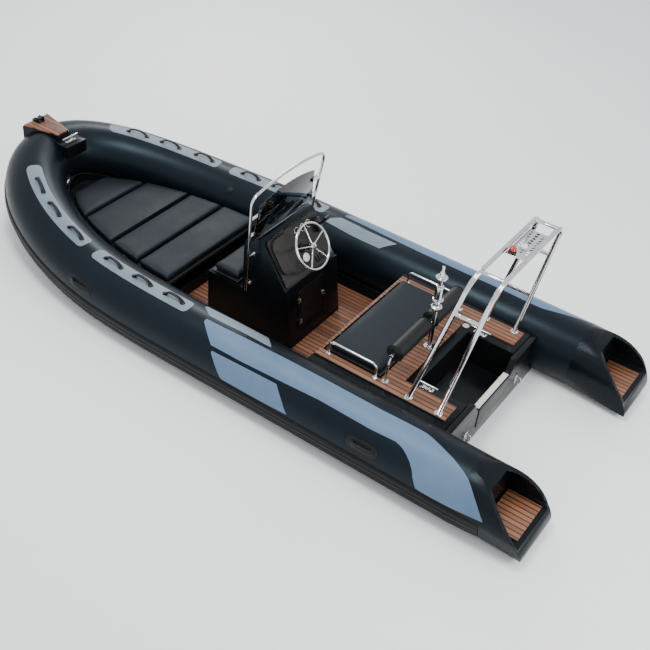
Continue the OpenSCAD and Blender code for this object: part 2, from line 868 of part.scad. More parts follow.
module console_cavity() {
    polygon([[console_aft_x + 1.2 * wall, sole_z + wall], [face_top_x + 1.2 * wall, face_top_z - wall],
        [dash_low_x + 1.4 * wall, dash_low_z - wall], [dash_top_x + wall, dash_top_z - 2 * wall],
        [console_x - 40 - wall, dash_top_z - 2 * wall], [console_x - wall, cowl_z - 120],
        [console_x - wall, sole_z + wall]]);
}

// Frame of the aft face: own Z runs up the face and own X runs into the console
module on_face() {
    translate([console_aft_x, 0, sole_z]) rotate([0, face_tilt, 0]) children();
}

// Frame of the dash: own X runs up the slope and own Z stands out of it
module on_dash() {
    translate([dash_low_x, 0, dash_low_z + 12]) rotate([0, -dash_slope, 0]) children();
}

module door_hinges() {
    for (z = [door_low + 100, door_low + door_h - 100])
        on_face() translate([-lid_axis, door_hinge_y, z]) children();
}

module console_body() {
    color("#0e1012") difference() {
        across(console_w) console_profile();
        across(console_w - 2 * wall) console_cavity();
        // Locker under the front seat
        block([console_x + 60 + 20, locker_rim - console_w / 2, sole_z + wall],
            [front_seat_x - locker_rim, console_w / 2 - locker_rim, front_seat_z + 1]);
        // Doorway
        on_face() block([-50, door_hinge_y - panel_gap - door_w - 2 * panel_gap, door_low - panel_gap],
            [60, door_hinge_y - 3, door_low + door_h + panel_gap]);
    }
    color("#0e1012") {
        door_hinges() {
            hinge_pin_side();
            for (s = [-1, 1])
                translate([0, 0, s * 19 - 6]) cube([lid_axis + 1, hinge_r, 12]);
        }
        seat_hinges() {
            hinge_pin_side();
            for (s = [-1, 1])
                translate([lid_gap + lid_axis - 1, 0, s * 19])
                    cube([2 * (lid_gap + lid_axis), 10, 12], center = true);
        }
    }
}

module console_door() {
    color("#121417") {
        on_face() block([0, door_hinge_y - panel_gap - door_w - panel_gap, door_low],
            [door_t, door_hinge_y - panel_gap - 3, door_low + door_h]);
        door_hinges() difference() {
            union() {
                cylinder(h = 25, r = hinge_r, center = true, $fn = 32);
                translate([-hinge_r, -30, -12.5]) cube([lid_axis + hinge_r - 0.6, 30, 25]);
                translate([-hinge_r, -30, -12.5])
                    cube([lid_axis + hinge_r + 1, 27 - panel_gap, 25]);
            }
            cylinder(h = 30, r = hinge_pin_r + pin_gap, center = true, $fn = 32);
        }
    }
}

module dash_panel() {
    color("#3a3c3d") on_dash() difference() {
        block([30, 34 - console_w / 2, 0.3], [dash_len - 25, console_w / 2 - 34, dash_panel_t]);
        translate([wheel_u, wheel_y, -1]) cylinder(h = 20, r = 40.5, $fn = 64);
        block([wheel_u + 40, 45 - console_w / 2, -1], [wheel_u + 161, 106 - console_w / 2, 20]);
    }
}

module steering_column() {
    color("#1a1c1f") on_dash() translate([wheel_u, wheel_y, 0]) {
        translate([0, 0, 0.3]) cylinder(h = 22, r = 40, $fn = 64);
        translate([0, 0, 20]) cylinder(h = column_top - 20, r = 26, $fn = 64);
        translate([0, 0, column_top - 1]) cylinder(h = hub_h, r = shaft_r, $fn = 32);
    }
}

module steering_wheel() {
    color("#e2e4e6") on_dash() translate([wheel_u, wheel_y, wheel_rise]) difference() {
        union() {
            rotate_extrude($fn = 96) translate([wheel_r, 0]) circle(r = rim_d / 2, $fn = 32);
            translate([0, 0, -hub_h / 2]) cylinder(h = hub_h, r = hub_r, $fn = 64);
            for (i = [0:spokes - 1])
                rotate([0, 90, 360 * i / spokes])
                    cylinder(h = wheel_r, r = 7, $fn = 24);
        }
        translate([0, 0, -hub_h]) cylinder(h = 2 * hub_h - 8, r = shaft_r + pin_gap, $fn = 32);
    }
}

module throttle() {
    color("#16181b") on_dash() translate([wheel_u + 41, 46 - console_w / 2, 0.3]) {
        cube([119, 59, 50]);
        translate([58, 30, 50]) rotate([0, 20, 0]) translate([-9, -9, -4]) cube([18, 18, 120]);
        translate([58, 30, 50]) rotate([0, 20, 0]) translate([0, 0, 116])
            rotate([90, 0, 0]) cylinder(h = 60, r = 17, center = true, $fn = 48);
    }
}

module seat_hinges() {
    for (y = [-220, 220])
        translate([seat_axis_x, y, seat_axis_z]) rotate([90, 90, 0]) children();
}

module front_seat_lid() {
    color("#202429") {
        block([seat_lid_aft_x, -seat_lid_w / 2, front_seat_z + lid_gap],
            [seat_lid_front_x, seat_lid_w / 2, front_seat_z + lid_gap + lid_t]);
        seat_hinges() rotate([0, 0, 90]) hinge_eye_side(lid_axis + 2);
    }
}

module front_seat_cushion() {
    z = front_seat_z + lid_gap + lid_t + 1;
    color("#39424c")
        block([seat_lid_aft_x + 4, 5 - seat_lid_w / 2, z],
            [seat_lid_front_x - 4, seat_lid_w / 2 - 5, z + cushion_t]);
}

module front_seat_back() {
    color("#39424c")
        block([console_x + 1, -250, front_seat_z + 110],
            [console_x + 51, 250, cowl_z - 100]);
}

// ---------------------------------------------------------------- screen

// Frame of the screen: own Y across and own Z up the raked plane
module on_screen() {
    translate([screen_foot_x, 0, screen_foot_z]) rotate([0, -screen_rake, 0]) children();
}

function screen_arch(y) = screen_h - (screen_h - shoulder_h) * pow(y / screen_shoulder_y, 2);

function glass_edge(h) = glass_y - glass_taper * (h - glass_low) / (glass_side_h - glass_low);

module windscreen_frame() {
    shoulder = [0, screen_shoulder_y, shoulder_h];
    near_crown = [0, screen_shoulder_y - 160, screen_arch(screen_shoulder_y - 160)];
    port = concat([[0, screen_foot_y, 0]],
        bend([0, screen_foot_y, 0], shoulder, near_crown, 75, 6),
        [for (y = [near_crown[1]:-110:60]) [0, y, screen_arch(y)]]);
    path = concat(port, [[0, 0, screen_h]],
        [for (i = [len(port) - 1:-1:0]) [0, -port[i][1], port[i][2]]]);
    r = screen_tube_d / 2;
    color("#d7dade") on_screen() {
        sweep(path, r, [1, 0, 0]);
        both_sides() for (h = [60, 375]) {
            y = screen_foot_y + (screen_shoulder_y - screen_foot_y) * h / shoulder_h;
            translate([0, console_w / 2 + 0.5, h]) rotate([-90, 0, 0])
                cylinder(h = y - console_w / 2 - 0.5, r = r * 0.7, $fn = 32);
            translate([0, console_w / 2 + 0.5, h]) rotate([-90, 0, 0])
                cylinder(h = 5, r = 24, $fn = 48);
        }
        // Clamps whose cheeks grip the glass
        both_sides() for (h = [glass_low + 60, glass_side_h - 100]) {
            y = screen_foot_y + (screen_shoulder_y - screen_foot_y) * h / shoulder_h;
            difference() {
                block([-13, glass_edge(h) - 22, h - 17], [13, y, h + 17]);
                block([-glass_t / 2 - 0.4, 0, h - 40], [glass_t / 2 + 0.4, glass_edge(h) + 3, h + 40]);
            }
        }
    }
}

module windscreen() {
    steps = 8;
    half = glass_edge(glass_side_h);
    top = [for (i = [0:steps]) let(y = half * (1 - 2 * i / steps))
        [y, glass_side_h + glass_crown * (1 - pow(y / half, 2))]];
    color("#4a5055", 0.6) on_screen() translate([-glass_t / 2, 0, 0]) rotate([90, 0, 90])
        linear_extrude(glass_t)
            polygon(concat([[-glass_y, glass_low], [glass_y, glass_low]], top));
}

// ---------------------------------------------------------------- stern fittings

module transom_pad() {
    color("#d8d4c4") {
        difference() {
            block([transom_x - 6, -255, motor_seat_z - 200],
                [transom_x - 0.3, 255, motor_seat_z + 6]);
            for (y = [-163.5, 163.5], z = [motor_seat_z - 50, motor_seat_z - 150])
                translate([transom_x - 10, y, z]) rotate([0, 90, 0])
                    cylinder(h = 20, r = 6.5, $fn = 32);
        }
        block([transom_x - 6, -255, motor_seat_z + 0.3], [transom_x + transom_t + 6, 255, motor_seat_z + 6]);
        block([transom_x + transom_t + 0.3, -255, motor_seat_z - 60],
            [transom_x + transom_t + 6, 255, motor_seat_z + 6]);
    }
}

// U-bolt with its plate, standing out of the transom along local -X
module tow_eye() {
    block([-5, -26, -45], [-0.3, 26, 45]);
    sweep(route([[-4, 0, -28], [-48, 0, -28], [-48, 0, 28], [-4, 0, 28]], 24, 5), 6, [0, 1, 0]);
}

module deck_fittings() {
    color("#d7dade") {
        both_sides() translate([transom_x, motor_cut / 2 + 150, 141]) tow_eye();
        translate([transom_x, -480, -40]) rotate([0, -90, 0]) translate([0, 0, 0.3]) difference() {
            cylinder(h = 12, r = 26, $fn = 48);
            translate([0, 0, 4]) cylinder(h = 20, r = 15, $fn = 48);
        }
        translate([well_front_x + 50, -well_w / 2 - 50, aft_deck_z])
            cylinder(h = 10, r = 30, $fn = 64);
    }
}

hull();
cockpit_floor();
bow_deck();
transom();
aft_deck();
aft_deck_teak();
collar_port();
collar_starboard();
collar_bow();
tail_shell_port();
tail_shell_starboard();
step_teak();
rubbing_strake();
grab_handles_bow_port();
grab_handles_bow_starboard();
grab_handles_mid_port();
grab_handles_mid_starboard();
carry_handles();
bow_step();
anchor_roller();
cleats();
bow_cushion_1();
bow_cushion_2();
bow_cushion_3();
bow_cushion_4();
console_body();
console_door();
dash_panel();
front_seat_lid();
front_seat_cushion();
front_seat_back();
windscreen();
windscreen_frame();
steering_wheel();
steering_column();
throttle();
bench_lid();
bench_cushion();
backrest();
backrest_frame();
seat_rails();
ski_pole();
tower();
tower_plate();
transom_pad();
deck_fittings();
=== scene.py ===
# %% [markdown]
# # A six metre rigid inflatable tender
#
# The boat is a hard V hull with an air filled collar round it, a console with a wheel and a
# screen, pads on the bow deck, a bench, and a steel tower over the stern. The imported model
# already gives every part its true size and place. This lesson gives the parts their skin: a
# single wrapped fabric collar, swollen pads, rounded mouldings, teak, steel and smoked acrylic.

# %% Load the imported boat
import json
import math
from bisect import bisect_right

import bmesh
import bpy
from mathutils import Matrix, Vector

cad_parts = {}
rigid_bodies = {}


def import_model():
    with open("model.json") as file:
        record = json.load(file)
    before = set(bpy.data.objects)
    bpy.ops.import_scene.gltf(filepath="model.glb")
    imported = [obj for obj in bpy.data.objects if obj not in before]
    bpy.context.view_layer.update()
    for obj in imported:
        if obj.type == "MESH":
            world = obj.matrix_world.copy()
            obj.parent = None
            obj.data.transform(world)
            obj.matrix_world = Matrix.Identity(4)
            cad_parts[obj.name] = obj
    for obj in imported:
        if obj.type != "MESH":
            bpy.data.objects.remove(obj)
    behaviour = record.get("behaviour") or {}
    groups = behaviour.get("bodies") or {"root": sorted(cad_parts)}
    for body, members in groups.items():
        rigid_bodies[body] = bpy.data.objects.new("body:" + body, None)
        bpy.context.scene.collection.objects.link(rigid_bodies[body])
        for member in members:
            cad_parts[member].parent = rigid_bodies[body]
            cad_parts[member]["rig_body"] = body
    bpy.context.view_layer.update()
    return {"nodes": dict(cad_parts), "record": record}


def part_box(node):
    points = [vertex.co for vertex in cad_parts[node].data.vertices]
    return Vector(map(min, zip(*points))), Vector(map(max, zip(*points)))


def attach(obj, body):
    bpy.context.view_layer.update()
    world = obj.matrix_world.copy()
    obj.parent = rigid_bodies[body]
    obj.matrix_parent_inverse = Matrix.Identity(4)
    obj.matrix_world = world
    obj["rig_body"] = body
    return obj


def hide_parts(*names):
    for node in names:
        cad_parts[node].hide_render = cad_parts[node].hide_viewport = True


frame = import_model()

nodes = frame["nodes"]
slots = [m["slot"] for m in frame["record"]["materials"]]
print("nodes", len(nodes), "slots", slots)

# %% [markdown]
# ## Small tools
#
# Blender's own operators work on whatever is selected, so each helper first clears the
# selection and then takes up one piece. A finished piece ends with its object at the origin
# and its place in its mesh, so a pattern that reads object coordinates lines up with the boat.

# %% Selecting, settling and applying
def deselect():
    bpy.ops.object.select_all(action="DESELECT")


def take(piece):
    deselect()
    piece.select_set(True)
    bpy.context.view_layer.objects.active = piece
    return piece


def settle(piece):
    take(piece)
    bpy.ops.object.transform_apply(location=True, rotation=True, scale=True)
    return piece


def named(name):
    piece = bpy.context.object
    piece.name = name
    piece.data.name = name
    return piece


def apply_modifier(piece, kind, **settings):
    modifier = piece.modifiers.new(kind.title(), kind)
    for key, value in settings.items():
        setattr(modifier, key, value)
    take(piece)
    bpy.ops.object.modifier_apply(modifier=modifier.name)
    return piece


def edit(piece, pick="SELECT"):
    take(piece)
    bpy.ops.object.mode_set(mode="EDIT")
    bpy.ops.mesh.select_all(action=pick)


def leave():
    bpy.ops.object.mode_set(mode="OBJECT")


def outward(piece, gap=0.00001):
    edit(piece)
    bpy.ops.mesh.remove_doubles(threshold=gap)
    bpy.ops.mesh.normals_make_consistent(inside=False)
    leave()
    return piece


def pick_faces(piece, wanted):
    """Selects the faces whose centre and normal pass the test, and nothing else."""
    edit(piece, "DESELECT")
    bpy.ops.mesh.select_mode(type="FACE")
    mesh = bmesh.from_edit_mesh(piece.data)
    for face in mesh.faces:
        face.select_set(bool(wanted(face.calc_center_median(), face.normal)))
    bmesh.update_edit_mesh(piece.data)


def soften(piece, width, segments=3, angle=30):
    return apply_modifier(piece, "BEVEL", width=width, segments=segments, limit_method="ANGLE",
                          angle_limit=math.radians(angle), harden_normals=False)


def finish_piece(piece, body, material, sharp=35):
    """Smooths a piece, gives it its finish and hangs it on its body."""
    take(piece)
    bpy.ops.object.shade_smooth_by_angle(angle=math.radians(sharp))
    piece.data.materials.clear()
    piece.data.materials.append(material)
    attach(piece, body)
    return piece


def slab(name, low, high):
    """A block between two corners."""
    low, high = Vector(low), Vector(high)
    bpy.ops.mesh.primitive_cube_add(size=1, location=(low + high) / 2)
    piece = named(name)
    piece.scale = high - low
    return settle(piece)


def rod(name, start, end, radius, sides=24):
    start, end = Vector(start), Vector(end)
    bpy.ops.mesh.primitive_cylinder_add(vertices=sides, radius=radius, depth=(end - start).length,
                                        location=(start + end) / 2)
    piece = named(name)
    piece.rotation_mode = "QUATERNION"
    piece.rotation_quaternion = (end - start).to_track_quat("Z", "Y")
    return settle(piece)


def joined(name, parts):
    deselect()
    for part in parts:
        part.select_set(True)
    bpy.context.view_layer.objects.active = parts[0]
    bpy.ops.object.join()
    return named(name)


def copied(piece, name, matrix=None):
    twin = piece.copy()
    twin.data = piece.data.copy()
    bpy.context.collection.objects.link(twin)
    twin.name = name
    twin.data.name = name
    if matrix:
        twin.data.transform(matrix)
    return twin


print("tools ready")

# %% [markdown]
# ## Shared material effects
#
# Real surfaces are never one flat value. Four small node groups hold the effects that several
# finishes use: slow variation of colour and gloss, a fine grain, a woven cloth and laid planks.
# Each group gives out only colours, values and heights, and the shader stays in the material.

# %% Building node groups
def new_group(name, inputs, outputs):
    group = bpy.data.node_groups.new(name, "ShaderNodeTree")
    for socket_name, kind, value in inputs:
        socket = group.interface.new_socket(socket_name, in_out="INPUT", socket_type=kind)
        if value is not None:
            socket.default_value = value
    for socket_name, kind in outputs:
        group.interface.new_socket(socket_name, in_out="OUTPUT", socket_type=kind)
    start = group.nodes.new("NodeGroupInput")
    end = group.nodes.new("NodeGroupOutput")
    return group, start, end


def add_node(tree, kind, settings=None, **inputs):
    """Adds a node, sets its options, and links or sets each input."""
    made = tree.nodes.new(kind)
    for key, value in (settings or {}).items():
        setattr(made, key, value)
    for key, value in inputs.items():
        name = key.replace("_", " ")
        socket = made.inputs[int(key[1:])] if key[0] == "i" and key[1:].isdigit() else made.inputs[name]
        if isinstance(value, bpy.types.NodeSocket):
            tree.links.new(value, socket)
        else:
            socket.default_value = value
    return made


def maths(tree, operation, first, second=0.0, third=0.0):
    return add_node(tree, "ShaderNodeMath", {"operation": operation},
                    i0=first, i1=second, i2=third).outputs[0]


def blend_colours(tree, factor, first, second, mode="MIX"):
    mix = tree.nodes.new("ShaderNodeMix")
    mix.data_type = "RGBA"
    mix.blend_type = mode
    for socket, value in ((mix.inputs[0], factor), (mix.inputs[6], first), (mix.inputs[7], second)):
        if isinstance(value, bpy.types.NodeSocket):
            tree.links.new(value, socket)
        else:
            socket.default_value = value
    return mix.outputs[2]


def remap(tree, value, low, high, to_low, to_high):
    return add_node(tree, "ShaderNodeMapRange", {"clamp": True}, Value=value, From_Min=low,
                    From_Max=high, To_Min=to_low, To_Max=to_high).outputs[0]


# %% Slow variation of colour and gloss
def make_variation():
    group, start, end = new_group(
        "Variation",
        [("Vector", "NodeSocketVector", None), ("Scale", "NodeSocketFloat", 3.0),
         ("Dark", "NodeSocketColor", (0, 0, 0, 1)), ("Light", "NodeSocketColor", (1, 1, 1, 1)),
         ("Gloss Low", "NodeSocketFloat", 0.3), ("Gloss High", "NodeSocketFloat", 0.5)],
        [("Color", "NodeSocketColor"), ("Roughness", "NodeSocketFloat")])
    broad = add_node(group, "ShaderNodeTexNoise", Vector=start.outputs["Vector"],
                     Scale=start.outputs["Scale"], Detail=5.0, Roughness=0.6).outputs[0]
    close = maths(group, "MULTIPLY", start.outputs["Scale"], 9.0)
    fine = add_node(group, "ShaderNodeTexNoise", Vector=start.outputs["Vector"],
                    Scale=close, Detail=4.0, Roughness=0.7).outputs[0]
    both = maths(group, "ADD", maths(group, "MULTIPLY", broad, 0.65),
                 maths(group, "MULTIPLY", fine, 0.35))
    mask = remap(group, both, 0.35, 0.65, 0.0, 1.0)
    group.links.new(blend_colours(group, mask, start.outputs["Dark"], start.outputs["Light"]),
                    end.inputs["Color"])
    rough = add_node(group, "ShaderNodeMapRange", Value=mask, To_Min=start.outputs["Gloss Low"],
                     To_Max=start.outputs["Gloss High"]).outputs[0]
    group.links.new(rough, end.inputs["Roughness"])
    return group


variation = make_variation()
print("group", variation.name, len(variation.nodes), "nodes")


# %% Fine grain, for vinyl, plastic and moulded rubber
def make_grain():
    group, start, end = new_group(
        "Grain", [("Vector", "NodeSocketVector", None), ("Scale", "NodeSocketFloat", 400.0),
                  ("Pebbles", "NodeSocketFloat", 0.5)],
        [("Height", "NodeSocketFloat"), ("Mask", "NodeSocketFloat")])
    cells = add_node(group, "ShaderNodeTexVoronoi", {"feature": "SMOOTH_F1"},
                     Vector=start.outputs["Vector"], Scale=start.outputs["Scale"],
                     Smoothness=0.4).outputs["Distance"]
    noise = add_node(group, "ShaderNodeTexNoise", Vector=start.outputs["Vector"],
                     Scale=start.outputs["Scale"], Detail=3.0).outputs[0]
    height = add_node(group, "ShaderNodeMix", {"data_type": "FLOAT"}, i0=start.outputs["Pebbles"],
                      i2=noise, i3=cells).outputs[0]
    group.links.new(height, end.inputs["Height"])
    group.links.new(remap(group, height, 0.25, 0.6, 0.0, 1.0), end.inputs["Mask"])
    return group


grain = make_grain()
print("group", grain.name, len(grain.nodes), "nodes")


# %% Woven cloth under a rubber coat
def make_weave():
    group, start, end = new_group(
        "Weave", [("Vector", "NodeSocketVector", None), ("Threads", "NodeSocketFloat", 700.0)],
        [("Height", "NodeSocketFloat")])
    bands = []
    for axis in ("X", "Y"):
        wave = add_node(group, "ShaderNodeTexWave", {"bands_direction": axis},
                        Vector=start.outputs["Vector"], Scale=start.outputs["Threads"],
                        Distortion=0.6, Detail=1.0)
        bands.append(wave.outputs["Fac"])
    group.links.new(maths(group, "MULTIPLY", bands[0], bands[1]), end.inputs["Height"])
    return group


weave = make_weave()
print("group", weave.name, len(weave.nodes), "nodes")


# %% Laid planks with black caulk between them
def make_planks():
    group, start, end = new_group(
        "Planks",
        [("Along", "NodeSocketFloat", 0.0), ("Across", "NodeSocketFloat", 0.0),
         ("Plank", "NodeSocketFloat", 0.05), ("Caulk", "NodeSocketFloat", 0.12),
         ("Wood", "NodeSocketColor", (0.4, 0.16, 0.07, 1)),
         ("Pale", "NodeSocketColor", (0.6, 0.3, 0.15, 1))],
        [("Color", "NodeSocketColor"), ("Roughness", "NodeSocketFloat"),
         ("Height", "NodeSocketFloat")])
    course = maths(group, "DIVIDE", start.outputs["Across"], start.outputs["Plank"])
    number = maths(group, "FLOOR", course)
    part = maths(group, "FRACT", course)
    middle = maths(group, "ABSOLUTE", maths(group, "SUBTRACT", part, 0.5))
    edge = maths(group, "SUBTRACT", 0.5, maths(group, "MULTIPLY", start.outputs["Caulk"], 0.5))
    seam = add_node(group, "ShaderNodeMapRange", {"interpolation_type": "SMOOTHSTEP"}, Value=middle,
                    From_Min=edge, From_Max=maths(group, "ADD", edge, 0.03)).outputs[0]
    chance = add_node(group, "ShaderNodeTexWhiteNoise", {"noise_dimensions": "1D"},
                      W=number).outputs["Value"]
    shifted = maths(group, "ADD", start.outputs["Along"], maths(group, "MULTIPLY", chance, 7.0))
    along = add_node(group, "ShaderNodeCombineXYZ", X=maths(group, "MULTIPLY", shifted, 3.0),
                     Y=maths(group, "MULTIPLY", course, 1.6), Z=chance).outputs[0]
    streaks = add_node(group, "ShaderNodeTexNoise", Vector=along, Scale=9.0, Detail=9.0,
                       Roughness=0.72, Distortion=0.4).outputs[0]
    tone = maths(group, "ADD", maths(group, "MULTIPLY", streaks, 0.75),
                 maths(group, "MULTIPLY", chance, 0.5))
    wood = blend_colours(group, remap(group, tone, 0.3, 0.95, 0.0, 1.0), start.outputs["Wood"],
                         start.outputs["Pale"])
    group.links.new(blend_colours(group, seam, wood, (0.012, 0.011, 0.010, 1)),
                    end.inputs["Color"])
    group.links.new(remap(group, maths(group, "ADD", streaks, seam), 0.3, 1.0, 0.62, 0.42),
                    end.inputs["Roughness"])
    group.links.new(maths(group, "SUBTRACT", maths(group, "MULTIPLY", streaks, 0.35), seam),
                    end.inputs["Height"])
    return group


planks = make_planks()
print("group", planks.name, len(planks.nodes), "nodes")

# %% [markdown]
# ## The finishes
#
# One function lays out an everyday finish: a variation group for colour and gloss and a grain
# for the bump. Gelcoat, vinyl, rubber, plastic and steel are all this one layout with their own
# numbers. Cloth and teak need their own layout, because their pattern has a direction.

# %% The everyday finish
def everyday(name, dark, light, gloss, scale=2.0, grain_scale=500.0, pebbles=0.3, depth=0.0002,
             metallic=0.0, coat=0.0, level=0.5, tint=(1, 1, 1)):
    material = bpy.data.materials.new(name)
    material.use_nodes = True
    tree = material.node_tree
    shader = tree.nodes["Principled BSDF"]
    where = add_node(tree, "ShaderNodeTexCoord").outputs["Object"]
    cloud = add_node(tree, "ShaderNodeGroup", {"node_tree": variation}, Vector=where, Scale=scale,
                     Dark=(*dark, 1), Light=(*light, 1), Gloss_Low=gloss[0], Gloss_High=gloss[1])
    tree.links.new(cloud.outputs["Color"], shader.inputs["Base Color"])
    tree.links.new(cloud.outputs["Roughness"], shader.inputs["Roughness"])
    relief = add_node(tree, "ShaderNodeGroup", {"node_tree": grain}, Vector=where,
                      Scale=grain_scale, Pebbles=pebbles)
    bump = add_node(tree, "ShaderNodeBump", Height=relief.outputs["Height"], Distance=depth,
                    Strength=0.6)
    tree.links.new(bump.outputs[0], shader.inputs["Normal"])
    shader.inputs["Metallic"].default_value = metallic
    shader.inputs["Coat Weight"].default_value = coat
    shader.inputs["Coat Roughness"].default_value = 0.05
    shader.inputs["Specular IOR Level"].default_value = level
    shader.inputs["Specular Tint"].default_value = (*tint, 1)
    return material


gelcoat = everyday("gelcoat_black", (0.0022, 0.0026, 0.003), (0.0045, 0.005, 0.0058),
                   (0.14, 0.24), scale=1.6, grain_scale=60, pebbles=0.0, depth=0.0003, coat=0.03,
                   level=0.16, tint=(0.80, 0.92, 1.0))
console_coat = everyday("gelcoat_console", (0.0022, 0.0026, 0.003), (0.0042, 0.0047, 0.0054),
                        (0.26, 0.38), scale=2.0, grain_scale=120, pebbles=0.2, depth=0.0002,
                        level=0.2, tint=(0.50, 0.82, 1.0))
deck_coat = everyday("gelcoat_deck", (0.003, 0.0035, 0.004), (0.006, 0.007, 0.008), (0.34, 0.5),
                     scale=2.4, grain_scale=420, pebbles=0.8, depth=0.0006, level=0.25)
tail_rubber = everyday("tail_black", (0.0018, 0.0025, 0.0034), (0.0032, 0.0042, 0.0054), (0.24, 0.34),
                       scale=2.2, grain_scale=240, depth=0.00004, level=0.17, tint=(0.70, 0.87, 1.0))
strake_rubber = everyday("strake_black", (0.002, 0.0022, 0.0026), (0.0045, 0.005, 0.0056),
                         (0.40, 0.56), scale=5, grain_scale=500, depth=0.0003, level=0.16)
handle_rubber = everyday("handle_black", (0.004, 0.0045, 0.005), (0.009, 0.0095, 0.0105),
                         (0.36, 0.52), scale=9, grain_scale=600, depth=0.0003, level=0.22)
black_plastic = everyday("plastic_black", (0.003, 0.0034, 0.0038), (0.006, 0.0066, 0.0072),
                         (0.26, 0.38), scale=7, grain_scale=900, depth=0.0002, level=0.38)
vinyl = everyday("cushion_slate", (0.0062, 0.0098, 0.0142), (0.0092, 0.0138, 0.0192), (0.46, 0.60),
                 scale=3.5, grain_scale=520, pebbles=0.85, depth=0.0004, level=0.17)
roll_vinyl = everyday("roll_black", (0.0045, 0.0052, 0.006), (0.009, 0.0098, 0.011), (0.36, 0.48),
                      scale=5, grain_scale=560, pebbles=0.85, depth=0.0004, level=0.22)
steel = everyday("steel_polished", (0.50, 0.50, 0.51), (0.68, 0.68, 0.685), (0.06, 0.15), scale=8,
                 grain_scale=90, pebbles=0.0, depth=0.00005, metallic=1.0)
dash_moulding = everyday("dash_smoke", (0.010, 0.009, 0.0080), (0.019, 0.017, 0.0148), (0.20, 0.32),
                         scale=4, grain_scale=700, depth=0.0001, coat=0.08, level=0.25)
pad_plastic = everyday("pad_cream", (0.50, 0.49, 0.42), (0.66, 0.64, 0.56), (0.35, 0.5), scale=9,
                       grain_scale=300, pebbles=0.6, depth=0.0005)
print("finishes", len(bpy.data.materials))


# %% Coated cloth for the collar, in three colours
def coated_cloth(name, dark, light, gloss, level=0.3):
    material = bpy.data.materials.new(name)
    material.use_nodes = True
    tree = material.node_tree
    shader = tree.nodes["Principled BSDF"]
    where = add_node(tree, "ShaderNodeTexCoord")
    tint = add_node(tree, "ShaderNodeGroup", {"node_tree": variation},
                    Vector=where.outputs["Object"], Scale=0.9, Dark=(*dark, 1), Light=(*light, 1),
                    Gloss_Low=gloss[0], Gloss_High=gloss[1])
    tree.links.new(tint.outputs["Color"], shader.inputs["Base Color"])
    tree.links.new(tint.outputs["Roughness"], shader.inputs["Roughness"])
    cloth = add_node(tree, "ShaderNodeGroup", {"node_tree": weave}, Vector=where.outputs["UV"],
                     Threads=110.0)
    slow = add_node(tree, "ShaderNodeTexNoise", Vector=where.outputs["Object"], Scale=2.6,
                    Detail=2.0).outputs[0]
    soft = add_node(tree, "ShaderNodeBump", Height=slow, Distance=0.012, Strength=0.35).outputs[0]
    bump = add_node(tree, "ShaderNodeBump", Height=cloth.outputs["Height"], Distance=0.00012,
                    Strength=0.5, Normal=soft)
    tree.links.new(bump.outputs[0], shader.inputs["Normal"])
    shader.inputs["Specular IOR Level"].default_value = level
    shader.inputs["Specular Tint"].default_value = (0.60, 0.82, 1.0, 1)
    return material


collar_cloth = coated_cloth("collar_navy", (0.0022, 0.0036, 0.0052), (0.0036, 0.0054, 0.0076),
                            (0.29, 0.38), level=0.2)
panel_cloth = coated_cloth("panel_blue_grey", (0.080, 0.129, 0.205), (0.108, 0.166, 0.255),
                           (0.38, 0.48))
patch_cloth = coated_cloth("patch_grey", (0.118, 0.148, 0.178), (0.178, 0.212, 0.246), (0.42, 0.54))
print("cloths", collar_cloth.name, panel_cloth.name, patch_cloth.name)


# %% Teak, laid fore and aft or across the boat
def teak(name, along, across, shift=0.0, plank=0.045):
    material = bpy.data.materials.new(name)
    material.use_nodes = True
    tree = material.node_tree
    shader = tree.nodes["Principled BSDF"]
    where = add_node(tree, "ShaderNodeTexCoord").outputs["Object"]
    split = add_node(tree, "ShaderNodeSeparateXYZ", Vector=where)
    run, side = split.outputs[along], maths(tree, "ADD", split.outputs[across], shift)
    wood = add_node(tree, "ShaderNodeGroup", {"node_tree": planks}, Along=run, Across=side,
                    Plank=plank, Caulk=0.28, Wood=(0.098, 0.031, 0.0125, 1),
                    Pale=(0.27, 0.106, 0.048, 1))
    tree.links.new(wood.outputs["Color"], shader.inputs["Base Color"])
    tree.links.new(wood.outputs["Roughness"], shader.inputs["Roughness"])
    bump = add_node(tree, "ShaderNodeBump", Height=wood.outputs["Height"], Distance=0.0012,
                    Strength=0.5)
    tree.links.new(bump.outputs[0], shader.inputs["Normal"])
    return material


teak_fore_aft = teak("teak_fore_aft", "X", "Y", shift=10.0)
teak_across = teak("teak_across", "Y", "X", shift=10.0)
print("teak", teak_fore_aft.name, teak_across.name)


# %% Smoked acrylic for the screen
def acrylic():
    material = bpy.data.materials.new("glass_smoked")
    material.use_nodes = True
    tree = material.node_tree
    shader = tree.nodes["Principled BSDF"]
    where = add_node(tree, "ShaderNodeTexCoord").outputs["Object"]
    tint = add_node(tree, "ShaderNodeGroup", {"node_tree": variation}, Vector=where, Scale=2.0,
                    Dark=(0.135, 0.145, 0.15, 1), Light=(0.165, 0.175, 0.18, 1), Gloss_Low=0.015,
                    Gloss_High=0.05)
    tree.links.new(tint.outputs["Color"], shader.inputs["Base Color"])
    tree.links.new(tint.outputs["Roughness"], shader.inputs["Roughness"])
    shader.inputs["Metallic"].default_value = 0.0
    shader.inputs["Transmission Weight"].default_value = 1.0
    shader.inputs["IOR"].default_value = 1.49
    return material


smoked = acrylic()
red_lens = everyday("lens_red", (0.30, 0.008, 0.010), (0.48, 0.016, 0.018), (0.08, 0.16), scale=20,
                    grain_scale=300, depth=0.0001, coat=0.6)
dial_face = everyday("dial_white", (0.62, 0.63, 0.60), (0.78, 0.79, 0.76), (0.25, 0.35), scale=30,
                     grain_scale=500, depth=0.0001)
print("all finishes", len(bpy.data.materials))

